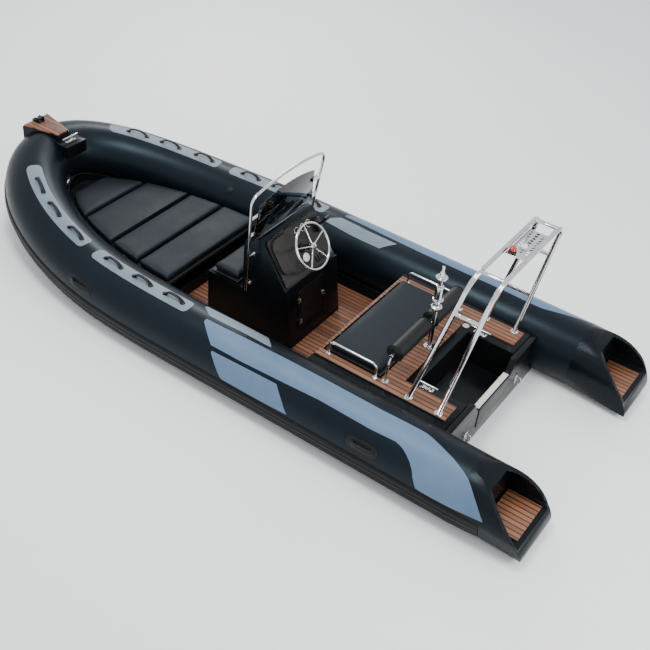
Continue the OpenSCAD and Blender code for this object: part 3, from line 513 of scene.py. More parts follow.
# %% [markdown]
# ## Camera, floor and light
#
# The boat is seen from high on its port side, from a little behind amidships. The floor is the
# waterline, plain and pale, and three large soft lamps and a bright sky stand in for a studio,
# so black gelcoat shows its shape by broad reflections.

# %% Camera
YAW, PITCH, ROLL = math.radians(58.5597), math.radians(39.3569), math.radians(5.8563)
forward = Vector((math.cos(YAW) * math.cos(PITCH), -math.sin(YAW) * math.cos(PITCH),
                  -math.sin(PITCH)))
level = Vector((-math.sin(YAW), -math.cos(YAW), 0))
upward = level.cross(forward)
right = level * math.cos(ROLL) + upward * math.sin(ROLL)
upright = upward * math.cos(ROLL) - level * math.sin(ROLL)

camera = bpy.data.objects.new("camera", bpy.data.cameras.new("camera"))
bpy.context.scene.collection.objects.link(camera)
turn = Matrix((right, upright, -forward)).transposed().to_4x4()
camera.matrix_world = Matrix.Translation((-4.1343, 5.966, 5.843)) @ turn
camera.data.sensor_width = 36
camera.data.lens = 57.665
camera.data.clip_end = 200
bpy.context.scene.camera = camera
print("camera", [round(v, 3) for v in camera.location], "lens", camera.data.lens)


# %% Floor and light
def pale_floor():
    deselect()
    bpy.ops.mesh.primitive_plane_add(size=60, location=(0, 0, 0))
    floor = settle(named("floor"))
    material = bpy.data.materials.new("floor_pale")
    material.use_nodes = True
    tree = material.node_tree
    where = add_node(tree, "ShaderNodeTexCoord").outputs["Object"]
    tint = add_node(tree, "ShaderNodeGroup", {"node_tree": variation}, Vector=where, Scale=0.4,
                    Dark=(0.90, 0.90, 0.90, 1), Light=(0.92, 0.92, 0.92, 1), Gloss_Low=0.75,
                    Gloss_High=0.85)
    tree.links.new(tint.outputs["Color"], tree.nodes["Principled BSDF"].inputs["Base Color"])
    tree.links.new(tint.outputs["Roughness"], tree.nodes["Principled BSDF"].inputs["Roughness"])
    floor.data.materials.append(material)


def soft_lamp(name, place, aim, size, power):
    lamp = bpy.data.objects.new(name, bpy.data.lights.new(name, "AREA"))
    lamp.data.shape = "RECTANGLE"
    lamp.data.size, lamp.data.size_y = size
    lamp.data.energy = power
    lamp.location = place
    lamp.rotation_euler = (Vector(aim) - Vector(place)).to_track_quat("-Z", "Y").to_euler()
    bpy.context.scene.collection.objects.link(lamp)


pale_floor()
world = bpy.data.worlds.new("sky")
bpy.context.scene.world = world
world.use_nodes = True
world.node_tree.nodes["Background"].inputs["Color"].default_value = (0.93, 0.965, 1.0, 1)
world.node_tree.nodes["Background"].inputs["Strength"].default_value = 1.25
soft_lamp("lamp_top", (0.5, 1.5, 7.5), (0, 0, 0), (3, 2), 380)
soft_lamp("lamp_stern", (-7.5, 0.5, 4.5), (-0.5, 0, 0.3), (2.4, 2.4), 260)
soft_lamp("lamp_bow", (5.0, -5.5, 5.0), (0.5, 0, 0.3), (2.4, 2), 220)
print("floor and lamps ready")

# %% [markdown]
# ## The collar
#
# The collar is one air filled tube that runs from the port tail round the bow to the starboard
# tail. It could be a bevelled curve, but panels, patches and the strake have to lie on it
# exactly. So a function tells where a point is from its length along the tube and its angle
# round it, and a flat grid is wrapped by that function. Everything on the tube is cut flat and
# wrapped the same way.

# %% The collar's centreline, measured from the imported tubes
port_low, port_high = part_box("collar_port")
bow_low, bow_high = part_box("collar_bow")
TUBE_R = (port_high.z - port_low.z) / 2
TUBE_Y = (port_high.y + port_low.y) / 2
TUBE_Z = (port_high.z + port_low.z) / 2
TAIL_X, BEND_X, NOSE_X = port_low.x, port_high.x, bow_high.x - TUBE_R
BOW_RISE = bow_high.z - TUBE_Z - TUBE_R
SHEER_X, FULLNESS = NOSE_X - 1.78, 2.5
STERN_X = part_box("tail_shell_port")[0].x


def centre_at(angle):
    """Port side of the plan curve: 0 where the bow begins to curve in, 90 degrees at the nose."""
    x = BEND_X + (NOSE_X - BEND_X) * math.sin(angle) ** (2 / FULLNESS)
    rise = BOW_RISE * max(0.0, (x - SHEER_X) / (NOSE_X - SHEER_X)) ** 2
    return Vector((x, TUBE_Y * math.cos(angle), TUBE_Z + rise))


def spine_table(count=900):
    """Places along the port half, each with the length from the nose."""
    row = [centre_at(math.pi / 2 * (1 - i / count)) for i in range(count)]
    row += [Vector((BEND_X, TUBE_Y, TUBE_Z)), Vector((STERN_X - 0.2, TUBE_Y, TUBE_Z))]
    table, gone = [], 0.0
    for i, place in enumerate(row):
        gone += (place - row[i - 1]).length if i else 0.0
        table.append((gone, place))
    return table


spine = spine_table()
spine_lengths = [row[0] for row in spine]


def centre(length):
    """The centreline at a length from the nose: port is positive, starboard negative."""
    reach = min(max(abs(length), 0.0), spine_lengths[-1])
    i = min(max(bisect_right(spine_lengths, reach), 1), len(spine) - 1)
    (a, low), (b, high) = spine[i - 1], spine[i]
    place = low.lerp(high, (reach - a) / (b - a))
    return Vector((place.x, place.y if length >= 0 else -place.y, place.z))


def outboard(length, step=0.012):
    """Level direction away from the boat, square to the centreline."""
    ahead = centre(length - step) - centre(length + step)
    return Vector((-ahead.y, ahead.x, 0)).normalized()


def length_at(x, side=1):
    """Length from the nose at which the centreline has the given x."""
    for (a, low), (b, high) in zip(spine, spine[1:]):
        if low.x >= x >= high.x:
            return side * (a + (b - a) * (low.x - x) / max(low.x - high.x, 1e-9))
    return side * spine_lengths[-1]


def on_collar(length, degrees, lift=0.0):
    """A point on the tube: 0 degrees is outboard, 90 the crown and 180 inboard."""
    turned = math.radians(degrees)
    return centre(length) + (TUBE_R + lift) * (math.cos(turned) * outboard(length)
                                               + math.sin(turned) * Vector((0, 0, 1)))


def wrapped_grid(name, along, around, place):
    """A flat grid with UVs, each of whose points is moved by place(u, v)."""
    deselect()
    bpy.ops.mesh.primitive_grid_add(x_subdivisions=along, y_subdivisions=around, size=2,
                                    calc_uvs=True)
    piece = named(name)
    for vertex in piece.data.vertices:
        u, v = (vertex.co.x + 1) / 2, (vertex.co.y + 1) / 2
        vertex.co = place(u, v)
    return piece


def scale_uvs(piece, across, up):
    for spot in piece.data.uv_layers.active.data:
        spot.uv = (spot.uv[0] * across, spot.uv[1] * up)


def cap_ends(piece):
    """Closes every open rim with a flat face."""
    edit(piece)
    bpy.ops.mesh.remove_doubles(threshold=0.0001)
    bpy.ops.mesh.select_all(action="DESELECT")
    bpy.ops.mesh.select_mode(type="EDGE")
    bpy.ops.mesh.select_non_manifold()
    bpy.ops.mesh.fill_holes(sides=0)
    bpy.ops.mesh.select_all(action="SELECT")
    bpy.ops.mesh.normals_make_consistent(inside=False)
    leave()
    return piece


print("tube radius", round(TUBE_R, 3), "length", round(2 * spine_lengths[-1], 2))

# %% The collar's skin
FULL = length_at(TAIL_X)


def collar_skin():
    skin = wrapped_grid("collar_skin", 210, 56,
                        lambda u, v: on_collar((1 - 2 * u) * FULL, 360 * v - 90))
    scale_uvs(skin, 2 * FULL, 2 * math.pi * TUBE_R)
    cap_ends(skin)
    finish_piece(skin, "boat", collar_cloth, sharp=50)
    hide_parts("collar_port", "collar_starboard", "collar_bow")
    return skin


collar = collar_skin()
print("collar", len(collar.data.polygons), "faces")

# %% [markdown]
# ## Panels, patches and tapes
#
# Colour panels are thin sheets of the same cloth glued on the tube. Each is a grid whose lower
# and upper edges are given as angles at a few places along the boat, so that one function cuts
# the long swoosh, the small panels and the round ended patches under the grab handles.

# %% A glued panel
def between(stations, x):
    """Lower and upper angle at x, from rows of (x, lower, upper) that run aft."""
    for (x0, low0, high0), (x1, low1, high1) in zip(stations, stations[1:]):
        if x0 >= x >= x1:
            t = (x0 - x) / max(x0 - x1, 1e-9)
            return low0 + (low1 - low0) * t, high0 + (high1 - high0) * t
    return stations[-1][1:] if x < stations[-1][0] else stations[0][1:]


def glued_panel(name, stations, material, side=1, lift=0.0022, along=60, around=14):
    first, last = stations[0][0], stations[-1][0]

    def place(u, v):
        x = first + (last - first) * u
        low, high = between(stations, x)
        return on_collar(length_at(x, side), low + (high - low) * v, lift)

    panel = wrapped_grid(name, along, around, place)
    scale_uvs(panel, abs(first - last), 0.4)
    edit(panel)
    bpy.ops.mesh.normals_make_consistent(inside=False)
    leave()
    apply_modifier(panel, "SOLIDIFY", thickness=0.003, offset=-1)
    outward(panel)
    return finish_piece(panel, "boat", material, sharp=40)


# Rows of (x, lower edge, upper edge) in metres and degrees, on the port side
SWOOSH = [(0.02, 78, 85), (-0.07, 63, 85.5), (-0.16, 48.5, 86), (-0.45, 48.5, 88.5),
          (-0.80, 51, 90.5), (-1.19, 54.5, 91), (-1.65, 53, 90.5), (-1.87, 55, 92),
          (-1.93, 52, 92), (-1.98, 46.5, 92), (-2.03, 39, 91.5), (-2.07, 30, 89.5),
          (-2.10, 18, 87.5), (-2.14, 5, 85), (-2.17, 4, 83), (-2.30, 4, 74), (-2.40, 5, 65),
          (-2.46, 6, 58.5), (-2.51, 7, 49.5), (-2.60, 9, 31), (-2.68, 11, 12)]
TOP_STRIP = [(0.14, 110, 117), (0.03, 94, 118.5), (-0.15, 95, 121), (-0.28, 96.5, 121.5),
             (-0.47, 96.5, 121.5), (-0.58, 96.5, 98.5)]
LOW_PANEL = [(-0.19, 38, 41), (-0.26, 23, 41.5), (-0.34, 4.5, 42), (-0.63, 4.5, 43.5),
             (-0.82, 5, 44.5), (-0.91, 6, 25.5), (-0.98, 6.5, 7.5)]

for side, word in ((1, "port"), (-1, "starboard")):
    glued_panel("panel_swoosh_" + word, SWOOSH, panel_cloth, side, along=120, around=18)
    glued_panel("panel_top_" + word, TOP_STRIP, patch_cloth, side, around=6)
    glued_panel("panel_low_" + word, LOW_PANEL, panel_cloth, side, around=12)
print("panels on both sides")

# %% Grab patches under the handles
def rounded_ends(x0, x1, low, high, end=0.045, blunt=0.5):
    """Stations of a long patch whose blunt ends have rounded corners."""
    rows, middle, half = [], (low + high) / 2, (high - low) / 2
    count = 9
    for i in range(count + 1):
        t = i / count
        width = blunt + (1 - blunt) * math.sqrt(1 - (1 - t) ** 2)
        rows.append((x0 - end * t, middle - half * width, middle + half * width))
    back = [(x1 + (x0 - x), low_a, high_a) for x, low_a, high_a in reversed(rows)]
    return rows + back


GRAB_ROWS = {"bow": (2.50, 1.44), "mid": (1.31, 0.21)}
for side, word in ((1, "port"), (-1, "starboard")):
    for row, (fore, aft) in GRAB_ROWS.items():
        stations = rounded_ends(fore, aft, 75, 104)
        glued_panel(f"grab_patch_{row}_{word}", stations, patch_cloth, side, lift=0.0026,
                    along=90, around=12)
print("grab patches", 2 * len(GRAB_ROWS))

# %% [markdown]
# ## Carried over mouldings
#
# Mouldings of gelcoat and plastic have no knife edges. For a part whose shape is already right,
# its mesh is copied, its loose triangles are merged back into flat faces, and every sharp edge
# is rounded by a bevel, so that it catches a thin line of light.

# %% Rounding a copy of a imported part
def rounded(node, width, material, segments=3, angle=32, sharp=40, name=None, flat=0.6):
    source = nodes[node]
    piece = bpy.data.objects.new(name or node + "_skin", source.data.copy())
    bpy.context.collection.objects.link(piece)
    edit(piece)
    bpy.ops.mesh.remove_doubles(threshold=0.00002)
    bpy.ops.mesh.dissolve_limited(angle_limit=math.radians(flat))
    leave()
    if width:
        soften(piece, width, segments, angle)
    finish_piece(piece, source["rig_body"], material, sharp)
    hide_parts(node)
    return piece


MOULDINGS = [("hull", 0.006, "gelcoat", gelcoat), ("transom", 0.006, "gelcoat", gelcoat),
             ("aft_deck", 0.006, "gelcoat", gelcoat), ("bow_deck", 0.003, "gelcoat", deck_coat),
             ("tail_shell_port", 0.006, "tail_black", tail_rubber),
             ("tail_shell_starboard", 0.006, "tail_black", tail_rubber),
             ("bow_step", 0.006, "gelcoat", gelcoat),
             ("console_body", 0.010, "gelcoat", console_coat),
             ("console_door", 0.004, "gelcoat", console_coat),
             ("anchor_roller", 0.002, "black_plastic", black_plastic),
             ("front_seat_lid", 0.003, "seat_board", black_plastic),
             ("bench_lid", 0.003, "seat_board", black_plastic),
             ("steering_column", 0.003, "black_plastic", black_plastic),
             ("throttle", 0.006, "black_plastic", black_plastic),
             ("dash_panel", 0.003, "dash_plate", dash_moulding),
             ("deck_fittings", 0.0015, "stainless", steel)]
for node, width, slot_name, material in MOULDINGS:
    made = rounded(node, width, material)
    print(node, len(made.data.polygons))

# %% Steel and glass
for node, width in (("steering_wheel", 0.0), ("windscreen_frame", 0.0), ("backrest_frame", 0.0),
                    ("seat_rails", 0.0), ("ski_pole", 0.002), ("tower", 0.0), ("cleats", 0.0015)):
    made = rounded(node, width, steel, angle=50, sharp=48, flat=0.2)
    print(node, len(made.data.polygons))
rounded("windscreen", 0.0015, smoked, segments=2)


# %% The ski pole's sleeve and its two cups, turned on a lathe
def turned(name, x, y, rings, sides=48):
    def place(u, v):
        spot = u * (len(rings) - 1)
        first = min(int(spot), len(rings) - 2)
        radius, z = Vector(rings[first]).lerp(Vector(rings[first + 1]), spot - first)
        around = 2 * math.pi * v
        return Vector((x + radius * math.cos(around), y + radius * math.sin(around), z))

    return cap_ends(wrapped_grid(name, len(rings) - 1, sides, place))


pole_low, pole_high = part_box("ski_pole")
pole_x, pole_y = (pole_low.x + pole_high.x) / 2, (pole_low.y + pole_high.y) / 2
CUP = [(0.020, 0.0), (0.031, 0.010), (0.043, 0.036), (0.046, 0.041), (0.043, 0.046), (0.034, 0.050)]
SLEEVE = ([(radius, z + 0.800) for radius, z in CUP] + [(0.029, 0.856), (0.028, 0.868)]
          + [(max(radius, 0.028), z + 0.872) for radius, z in CUP]
          + [(0.034, 1.030), (0.031, 1.042), (0.020, 1.046)])
sleeve = outward(turned("ski_pole_sleeve", pole_x, pole_y, SLEEVE))
finish_piece(sleeve, "boat", steel, sharp=35)
print("sleeve", len(sleeve.data.polygons))

# %% Teak decks
for node, finish in (("cockpit_floor", teak_fore_aft), ("aft_deck_teak", teak_fore_aft),
                     ("step_teak", teak_fore_aft)):
    made = rounded(node, 0.0015, finish, segments=2)
    print(node, len(made.data.polygons))

# %% [markdown]
# ## The rubbing strake
#
# A ribbed rubber strake runs low round the whole tube. Its section is a shallow bump with three
# ridges, given as a height over the tube, and the section closes on itself a little way inside
# the tube, so the wrapped grid is a solid moulding and not a sheet.

# %% Wrapping the strake
STRAKE_TOP, STRAKE_FOOT, STRAKE_T = 1.5, -47.0, 0.013
RIDGES = (0.26, 0.47, 0.68)


def strake_height(share):
    """Height over the tube, for a share of the way down the strake."""
    edge = min(1.0, min(share, 1 - share) / 0.1)
    ridge = max(max(0.0, 1 - abs(share - place) / 0.055) for place in RIDGES)
    return STRAKE_T * math.sqrt(edge) + 0.007 * math.sqrt(ridge)


def make_strake():
    reach = length_at(STERN_X + 0.34)

    def place(u, v):
        length = (1 - 2 * u) * reach
        taper = math.sqrt(min(1.0, (reach - abs(length)) / 0.25))
        if v <= 0.86:
            share = v / 0.86
            degrees = STRAKE_TOP + (STRAKE_FOOT - STRAKE_TOP) * share
            return on_collar(length, degrees, 0.001 + taper * strake_height(share))
        share = (v - 0.86) / 0.14
        degrees = STRAKE_FOOT + (STRAKE_TOP - STRAKE_FOOT) * share
        return on_collar(length, degrees, 0.001 - 0.006 * math.sin(math.pi * share))

    strake = wrapped_grid("rubbing_strake_ribbed", 240, 64, place)
    cap_ends(strake)
    finish_piece(strake, "boat", strake_rubber, sharp=50)
    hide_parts("rubbing_strake")
    return strake


strake = make_strake()
print("strake", len(strake.data.polygons), "faces")

# %% [markdown]
# ## Grab and carrying handles
#
# Each handle is a flattened rubber bar that springs in an arch from two round feet. The bar is
# again a wrapped grid: one direction runs along the arch and the other round the bar.

# %% One handle
def arched_handle(name, x, degrees, side, half=0.098, rise=0.040):
    middle = length_at(x, side)

    def bar(u, v):
        t = 2 * u - 1
        length = middle + t * half
        lift = 0.005 + rise * (1 - abs(t) ** 2.6)
        base = on_collar(length, degrees, lift)
        stand = (base - centre(length)).normalized()
        ahead = (on_collar(length - 0.01, degrees) - on_collar(length + 0.01, degrees)).normalized()
        aside = stand.cross(ahead)
        wide = 0.016 + 0.005 * abs(t) ** 3
        thick = 0.0065 - 0.002 * abs(t) ** 3
        turned = 2 * math.pi * v
        return base + wide * math.cos(turned) * aside + thick * math.sin(turned) * stand

    parts = [cap_ends(wrapped_grid(name + "_bar", 28, 14, bar))]
    for t in (-1, 1):
        length = middle + t * (half - 0.004)
        foot = rod(name + "_foot", on_collar(length, degrees, 0.0005),
                   on_collar(length, degrees, 0.009), 0.023, sides=28)
        parts.append(soften(foot, 0.003, 2))
    return parts


BOW_GRIPS = [BEND_X + gap for gap in (1.31, 1.66, 1.97)]
MID_GRIPS = [BEND_X + gap for gap in (0.09, 0.44, 0.79)]
AFT_HANDLE, FORE_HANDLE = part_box("transom")[0].x + 0.47, BEND_X + 0.93
for side, word in ((1, "port"), (-1, "starboard")):
    for row, places in (("bow", BOW_GRIPS), ("mid", MID_GRIPS)):
        parts = []
        for x in places:
            parts += arched_handle(f"grip_{row}", x, 90, side)
        row_piece = outward(joined(f"grab_handles_{row}_{word}_bars", parts))
        finish_piece(row_piece, "boat", handle_rubber, sharp=50)
        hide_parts(f"grab_handles_{row}_{word}")
carrying = []
for side in (1, -1):
    for x in (AFT_HANDLE, FORE_HANDLE):
        carrying += arched_handle("carry", x, 22, side, rise=0.034)
        glued_panel("carry_base", rounded_ends(x + 0.135, x - 0.135, 12, 32, 0.06, 0.3),
                    handle_rubber, side, lift=0.0026, along=40, around=8)
carry = outward(joined("carry_handles_bars", carrying))
finish_piece(carry, "boat", handle_rubber, sharp=50)
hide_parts("carry_handles")
print("handles", 2 * (len(BOW_GRIPS) + len(MID_GRIPS)) + 4)


# %% An air valve on the inner side of each tube
def air_valve(side, x=BEND_X + 0.90, degrees=137):
    length = length_at(x, side)
    parts = [soften(rod("valve", on_collar(length, degrees, start),
                        on_collar(length, degrees, end), radius, sides=40), 0.002, 2)
             for radius, start, end in ((0.037, -0.001, 0.005), (0.027, 0.004, 0.009),
                                        (0.013, 0.008, 0.013))]
    return parts


valves = joined("air_valves", air_valve(1) + air_valve(-1))
finish_piece(valves, "boat", handle_rubber, sharp=45)
print("valves", len(valves.data.polygons))

# %% [markdown]
# ## Swollen pads
#
# A pad starts as a copy of its plain block, drawn in a little so it has room to grow. Its edges
# are rounded, it is remeshed into even squares, and a cloth simulation blows it up gently. Points
# may move only a short way, so the pad crowns between its edges and keeps its outline, and the
# side it rests on stays flat.

# %% Swelling one pad
def swollen(piece, voxel, cap, pressure=4.0, rest=None):
    apply_modifier(piece, "REMESH", mode="VOXEL", voxel_size=voxel)
    start = [vertex.co.copy() for vertex in piece.data.vertices]
    cloth = piece.modifiers.new("Cloth", "CLOTH")
    cloth.settings.use_pressure = True
    cloth.settings.uniform_pressure_force = pressure
    cloth.settings.effector_weights.gravity = 0.0
    cloth.settings.quality = 3
    cloth.collision_settings.use_collision = False
    cloth.point_cache.frame_start, cloth.point_cache.frame_end = 1, 20
    for number in range(1, 21):
        bpy.context.scene.frame_set(number)
    take(piece)
    bpy.ops.object.modifier_apply(modifier=cloth.name)
    for vertex, was in zip(piece.data.vertices, start):
        move = vertex.co - was
        if move.length > cap:
            vertex.co = was + move * (cap / move.length)
        if rest is not None:
            vertex.co.z = max(vertex.co.z, rest)
    bpy.context.scene.frame_set(1)
    apply_modifier(piece, "SUBSURF", levels=1, render_levels=1)
    return piece


def pad_from(node, inset, drop, edge, voxel, cap, material=None, flat=True):
    """A pad over a plain block: drawn in by inset at the sides and by drop at the top."""
    source = nodes[node]
    low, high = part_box(node)
    middle, size = (low + high) / 2, high - low
    pad = bpy.data.objects.new(node + "_pad", source.data.copy())
    bpy.context.collection.objects.link(pad)
    edit(pad)
    bpy.ops.mesh.remove_doubles(threshold=0.00002)
    bpy.ops.mesh.dissolve_limited(angle_limit=math.radians(0.6))
    leave()
    for vertex in pad.data.vertices:
        spot = vertex.co
        spot.x = middle.x + (spot.x - middle.x) * (size.x - 2 * inset) / size.x
        spot.y = middle.y + (spot.y - middle.y) * (size.y - 2 * inset) / size.y
        spot.z = low.z + (spot.z - low.z) * (size.z - drop) / size.z
    soften(pad, edge, 3, 25)
    swollen(pad, voxel, cap, rest=low.z if flat else None)
    finish_piece(pad, source["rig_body"], material or vinyl, sharp=80)
    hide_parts(node)
    return pad


for i in (1, 2, 3, 4):
    pad = pad_from(f"bow_cushion_{i}", inset=0.010, drop=0.006, edge=0.012, voxel=0.011, cap=0.007)
    print(pad.name, len(pad.data.polygons))
for node, cap in (("front_seat_cushion", 0.010), ("bench_cushion", 0.009)):
    pad = pad_from(node, inset=0.010, drop=0.008, edge=0.014, voxel=0.010, cap=cap)
    print(pad.name, len(pad.data.polygons))
pad = pad_from("front_seat_back", inset=0.010, drop=0.010, edge=0.014, voxel=0.009, cap=0.009,
               flat=False)
print(pad.name, len(pad.data.polygons))


# %% The two backrest rolls
def roll_pads():
    low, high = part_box("backrest")
    middle = (low + high) / 2
    radius = (high.x - low.x) / 2
    inner, rolls, piping = 0.034, [], []
    for side, word in ((1, "port"), (-1, "starboard")):
        start, end = (Vector((middle.x, side * y, middle.z)) for y in (inner, high.y - 0.004))
        roll = rod("backrest_roll_" + word, start, end, radius - 0.006, sides=64)
        soften(roll, 0.016, 4)
        swollen(roll, 0.009, 0.005, pressure=3.0)
        finish_piece(roll, "boat", roll_vinyl, sharp=80)
        rolls.append(roll)
        for y in (inner + 0.011, high.y - 0.015):
            bpy.ops.mesh.primitive_torus_add(location=(middle.x, side * y, middle.z),
                                             rotation=(math.pi / 2, 0, 0),
                                             major_radius=radius - 0.005, minor_radius=0.0032,
                                             major_segments=72, minor_segments=10)
            piping.append(settle(named("piping")))
    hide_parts("backrest")
    cords = joined("backrest_piping", piping)
    finish_piece(cords, "boat", roll_vinyl, sharp=60)
    return rolls


print("rolls", [len(roll.data.polygons) for roll in roll_pads()])

# %% [markdown]
# ## The dash and the door
#
# The dash slopes, so its fittings are built flat on a drawing board whose axes are up the slope,
# to port and out of the dash, and then laid on it by one matrix. The door's fittings use a second
# board on the console's aft face.

# %% Drawing boards
joints = {joint["name"]: joint for joint in frame["record"]["behaviour"]["joints"]}
WHEEL_STAND = 0.122


def board(origin, first, out):
    """A matrix whose columns are the board's two directions and the way out of it."""
    first, out = Vector(first).normalized(), Vector(out).normalized()
    turned = Matrix((first, out.cross(first), out)).transposed().to_4x4()
    return Matrix.Translation(origin) @ turned


axis = Vector(joints["steering"]["axis"])
foot = Vector(joints["steering"]["pos_m"]) - WHEEL_STAND * axis
dash_board = board((foot.x, 0, foot.z), (axis.z, 0, -axis.x), axis)
down_face = Vector(joints["console_door_hinge"]["axis"])
hinge = Vector(joints["console_door_hinge"]["pos_m"])
face_out = Vector((down_face.z, 0, -down_face.x))
door_board = board(Vector((hinge.x, 0, hinge.z)) - 0.008 * face_out, -down_face, face_out)
print("dash", [round(v, 3) for v in dash_board.translation], "face",
      [round(v, 3) for v in door_board.translation])


def on_board(matrix, piece):
    piece.data.transform(matrix)
    return piece


def rim_frame(name, low, high, width, corner=0.03):
    """A raised frame: a slab with rounded corners whose top is inset and sunk."""
    piece = slab(name, low, high)
    pick = 1e-4
    edit(piece, "DESELECT")
    bpy.ops.mesh.select_mode(type="EDGE")
    mesh = bmesh.from_edit_mesh(piece.data)
    for edge in mesh.edges:
        a, b = (vertex.co for vertex in edge.verts)
        edge.select_set(abs(a.x - b.x) < pick and abs(a.y - b.y) < pick)
    bmesh.update_edit_mesh(piece.data)
    bpy.ops.mesh.bevel(offset=corner, segments=6)
    leave()
    pick_faces(piece, lambda centre, normal: normal.z > 0.9)
    bpy.ops.mesh.inset(thickness=width)
    bpy.ops.transform.translate(value=(0, 0, -(high[2] - low[2]) * 0.75))
    leave()
    return soften(piece, min(0.003, width / 3), 2)


# %% Dash fittings
def dash_fittings():
    edge = rim_frame("dash_edge", (-0.208, -0.336, 0.003), (0.232, 0.336, 0.016), 0.012, 0.035)
    finish_piece(on_board(dash_board, edge), "boat", dash_moulding, 40)
    pod = slab("dash_pod", (-0.120, 0.045, 0.004), (0.205, 0.305, 0.024))
    edit(pod, "DESELECT")
    bpy.ops.mesh.select_mode(type="EDGE")
    mesh = bmesh.from_edit_mesh(pod.data)
    for line in mesh.edges:
        a, b = (vertex.co for vertex in line.verts)
        line.select_set(abs(a.x - b.x) < 1e-4 and abs(a.y - b.y) < 1e-4)
    bmesh.update_edit_mesh(pod.data)
    bpy.ops.mesh.bevel(offset=0.075, segments=10)
    leave()
    pick_faces(pod, lambda centre, normal: normal.z > 0.9)
    bpy.ops.mesh.inset(thickness=0.014)
    bpy.ops.transform.translate(value=(0, 0, -0.005))
    leave()
    soften(pod, 0.004, 3)
    finish_piece(on_board(dash_board, pod), "boat", dash_moulding, 40)
    for name, u, y, radius, finish in (("gauge_white", -0.085, -0.020, 0.036, dial_face),
                                       ("gauge_dark_1", 0.150, -0.120, 0.030, black_plastic),
                                       ("gauge_dark_2", 0.150, -0.200, 0.030, black_plastic),
                                       ("gauge_dark_3", 0.150, -0.040, 0.030, black_plastic),
                                       ("key_barrel", -0.090, 0.055, 0.010, steel)):
        bezel = rod(name + "_bezel", (u, y, 0.004), (u, y, 0.013), radius + 0.005, 48)
        soften(bezel, 0.002, 2)
        finish_piece(on_board(dash_board, bezel), "boat", steel, 40)
        dial = rod(name + "_face", (u, y, 0.006), (u, y, 0.0145), radius, 48)
        soften(dial, 0.001, 2)
        finish_piece(on_board(dash_board, dial), "boat", finish, 40)
    switches = []
    for i in range(5):
        y = -0.130 - 0.034 * i
        body = slab("switch", (-0.185, y - 0.013, 0.004), (-0.130, y + 0.013, 0.012))
        rocker = slab("rocker", (-0.178, y - 0.009, 0.011), (-0.137, y + 0.009, 0.018))
        switches += [soften(body, 0.002, 2), soften(rocker, 0.003, 2)]
    row = joined("dash_switches", switches)
    finish_piece(on_board(dash_board, row), "boat", black_plastic, 40)
    lights = [rod("pilot", (-0.120, -0.130 - 0.034 * i, 0.004), (-0.120, -0.130 - 0.034 * i, 0.009),
                  0.003, 16) for i in range(5)]
    pilots = joined("dash_pilot_lights", lights)
    finish_piece(on_board(dash_board, pilots), "boat", red_lens, 40)


dash_fittings()
print("dash fittings ready")

# %% Door edge, hinges and latch
def door_fittings():
    low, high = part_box("console_door")
    tall = (high.z - low.z) / abs(down_face.z)
    middle = low.z + (high.z - low.z) / 2
    up = (middle - door_board.translation.z) / abs(down_face.z)
    leaf_low, leaf_high = up - tall / 2 + 0.010, up + tall / 2 - 0.010
    port, starboard = 0.224, -0.160
    for i, (gap, height) in enumerate(((0.004, 0.008), (0.034, 0.006))):
        edge = rim_frame(f"door_edge_{i}", (leaf_low + gap, starboard + gap, -0.001),
                         (leaf_high - gap, port - gap, height), 0.010, 0.045)
        finish_piece(on_board(door_board, edge), "console_door", console_coat, 40)
    leaves = []
    for z in (leaf_low + 0.090, leaf_high - 0.090):
        leaf = slab("hinge_leaf", (z - 0.024, 0.190, 0.004), (z + 0.024, 0.232, 0.0105))
        leaves.append(soften(leaf, 0.0015, 2))
        for spot in (-0.013, 0.013):
            leaves.append(rod("screw", (z + spot, 0.206, 0.009), (z + spot, 0.206, 0.0125),
                              0.0045, 16))
    hinges = joined("door_hinge_leaves", leaves)
    finish_piece(on_board(door_board, hinges), "console_door", steel, 40)
    plate = rod("latch_plate", (up + 0.010, -0.128, 0.004), (up + 0.010, -0.128, 0.011), 0.024, 40)
    knob = slab("latch_knob", (up - 0.008, -0.134, 0.010), (up + 0.028, -0.122, 0.021))
    latch = joined("door_latch", [soften(plate, 0.002, 2), soften(knob, 0.003, 2)])
    finish_piece(on_board(door_board, latch), "console_door", steel, 40)


door_fittings()
print("door fittings ready")

# %% [markdown]
# ## The tower's plate, the engine pad and the last fittings
#
# The plate on the tower carries two dark lamps under it and a red all-round light on it. The
# engine pad is a cream strip on the transom's top edge over a black board.

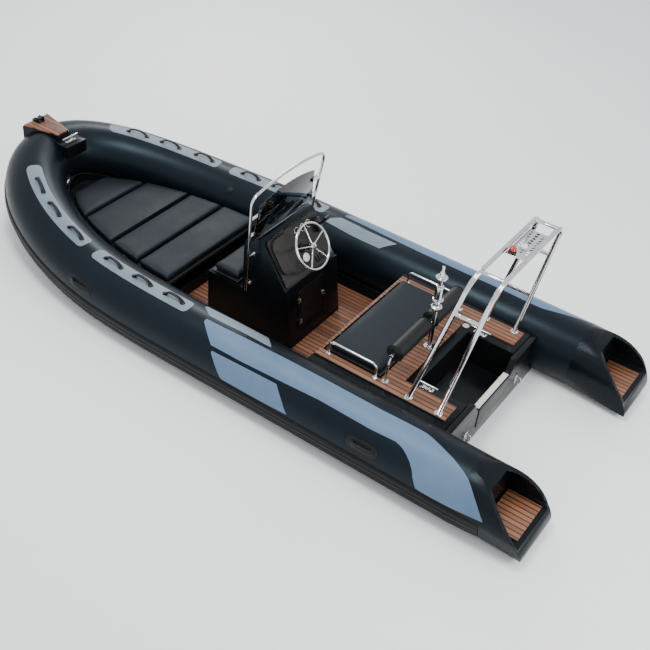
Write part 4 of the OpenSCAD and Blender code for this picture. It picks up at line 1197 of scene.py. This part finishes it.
# %% Tower plate
def tower_plate():
    low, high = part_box("tower_plate")
    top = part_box("tower")[1].z - 0.038 - 0.0005
    sheet = slab("tower_plate_sheet", (low.x + 0.025, low.y + 0.02, top - 0.0075),
                 (high.x - 0.025, high.y, top))
    cutters = []
    for i in range(3):
        for j in range(9):
            x = low.x + 0.058 + 0.048 * i
            y = low.y + 0.050 + 0.036 * j
            cutters.append(rod("hole", (x, y, top - 0.02), (x, y, top + 0.01), 0.0125, 20))
    drill = outward(joined("drill", cutters))
    apply_modifier(sheet, "BOOLEAN", operation="DIFFERENCE", object=drill, solver="EXACT")
    bpy.data.objects.remove(drill, do_unlink=True)
    soften(sheet, 0.001, 1, 60)
    finish_piece(sheet, "boat", steel, 40)
    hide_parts("tower_plate")
    middle = (low.x + high.x) / 2
    for i, y in enumerate((-0.285, -0.185)):
        case = slab(f"lamp_case_{i}", (middle - 0.045, y - 0.042, low.z),
                    (middle + 0.045, y + 0.042, top - 0.0078))
        soften(case, 0.012, 4)
        finish_piece(case, "boat", black_plastic, 40)
        lens = rod(f"lamp_lens_{i}", (middle - 0.040, y, low.z + 0.032),
                   (middle - 0.048, y, low.z + 0.032), 0.026, 40)
        finish_piece(soften(lens, 0.003, 3), "boat", dial_face, 40)
    x, y = high.x - 0.065, 0.045
    base = rod("beacon_base", (x, y, top), (x, y, top + 0.016), 0.030, 48)
    finish_piece(soften(base, 0.003, 3), "boat", black_plastic, 40)
    lens = rod("beacon_lens", (x, y, top + 0.015), (x, y, top + 0.050), 0.0265, 48)
    finish_piece(soften(lens, 0.010, 5), "boat", red_lens, 40)
    nav = rod("stern_light", (middle, -0.060, top), (middle, -0.060, top + 0.022), 0.026, 48)
    finish_piece(soften(nav, 0.006, 4), "boat", dial_face, 40)


tower_plate()
print("tower plate ready")

# %% Engine pad
def engine_pad():
    low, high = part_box("transom_pad")
    outer = slab("engine_board", (low.x, low.y, low.z), (low.x + 0.0057, high.y, high.z - 0.007))
    soften(outer, 0.0012, 2)
    finish_piece(outer, "boat", black_plastic, 40)
    inner = slab("engine_board_inner", (high.x - 0.0057, low.y, high.z - 0.066),
                 (high.x, high.y, high.z - 0.007))
    finish_piece(soften(inner, 0.0012, 2), "boat", black_plastic, 40)
    strip = slab("engine_strip", (low.x + 0.012, low.y, high.z - 0.0057),
                 (high.x - 0.008, high.y, high.z))
    finish_piece(soften(strip, 0.0018, 3), "boat", pad_plastic, 40)
    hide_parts("transom_pad")


engine_pad()
print("engine pad ready")
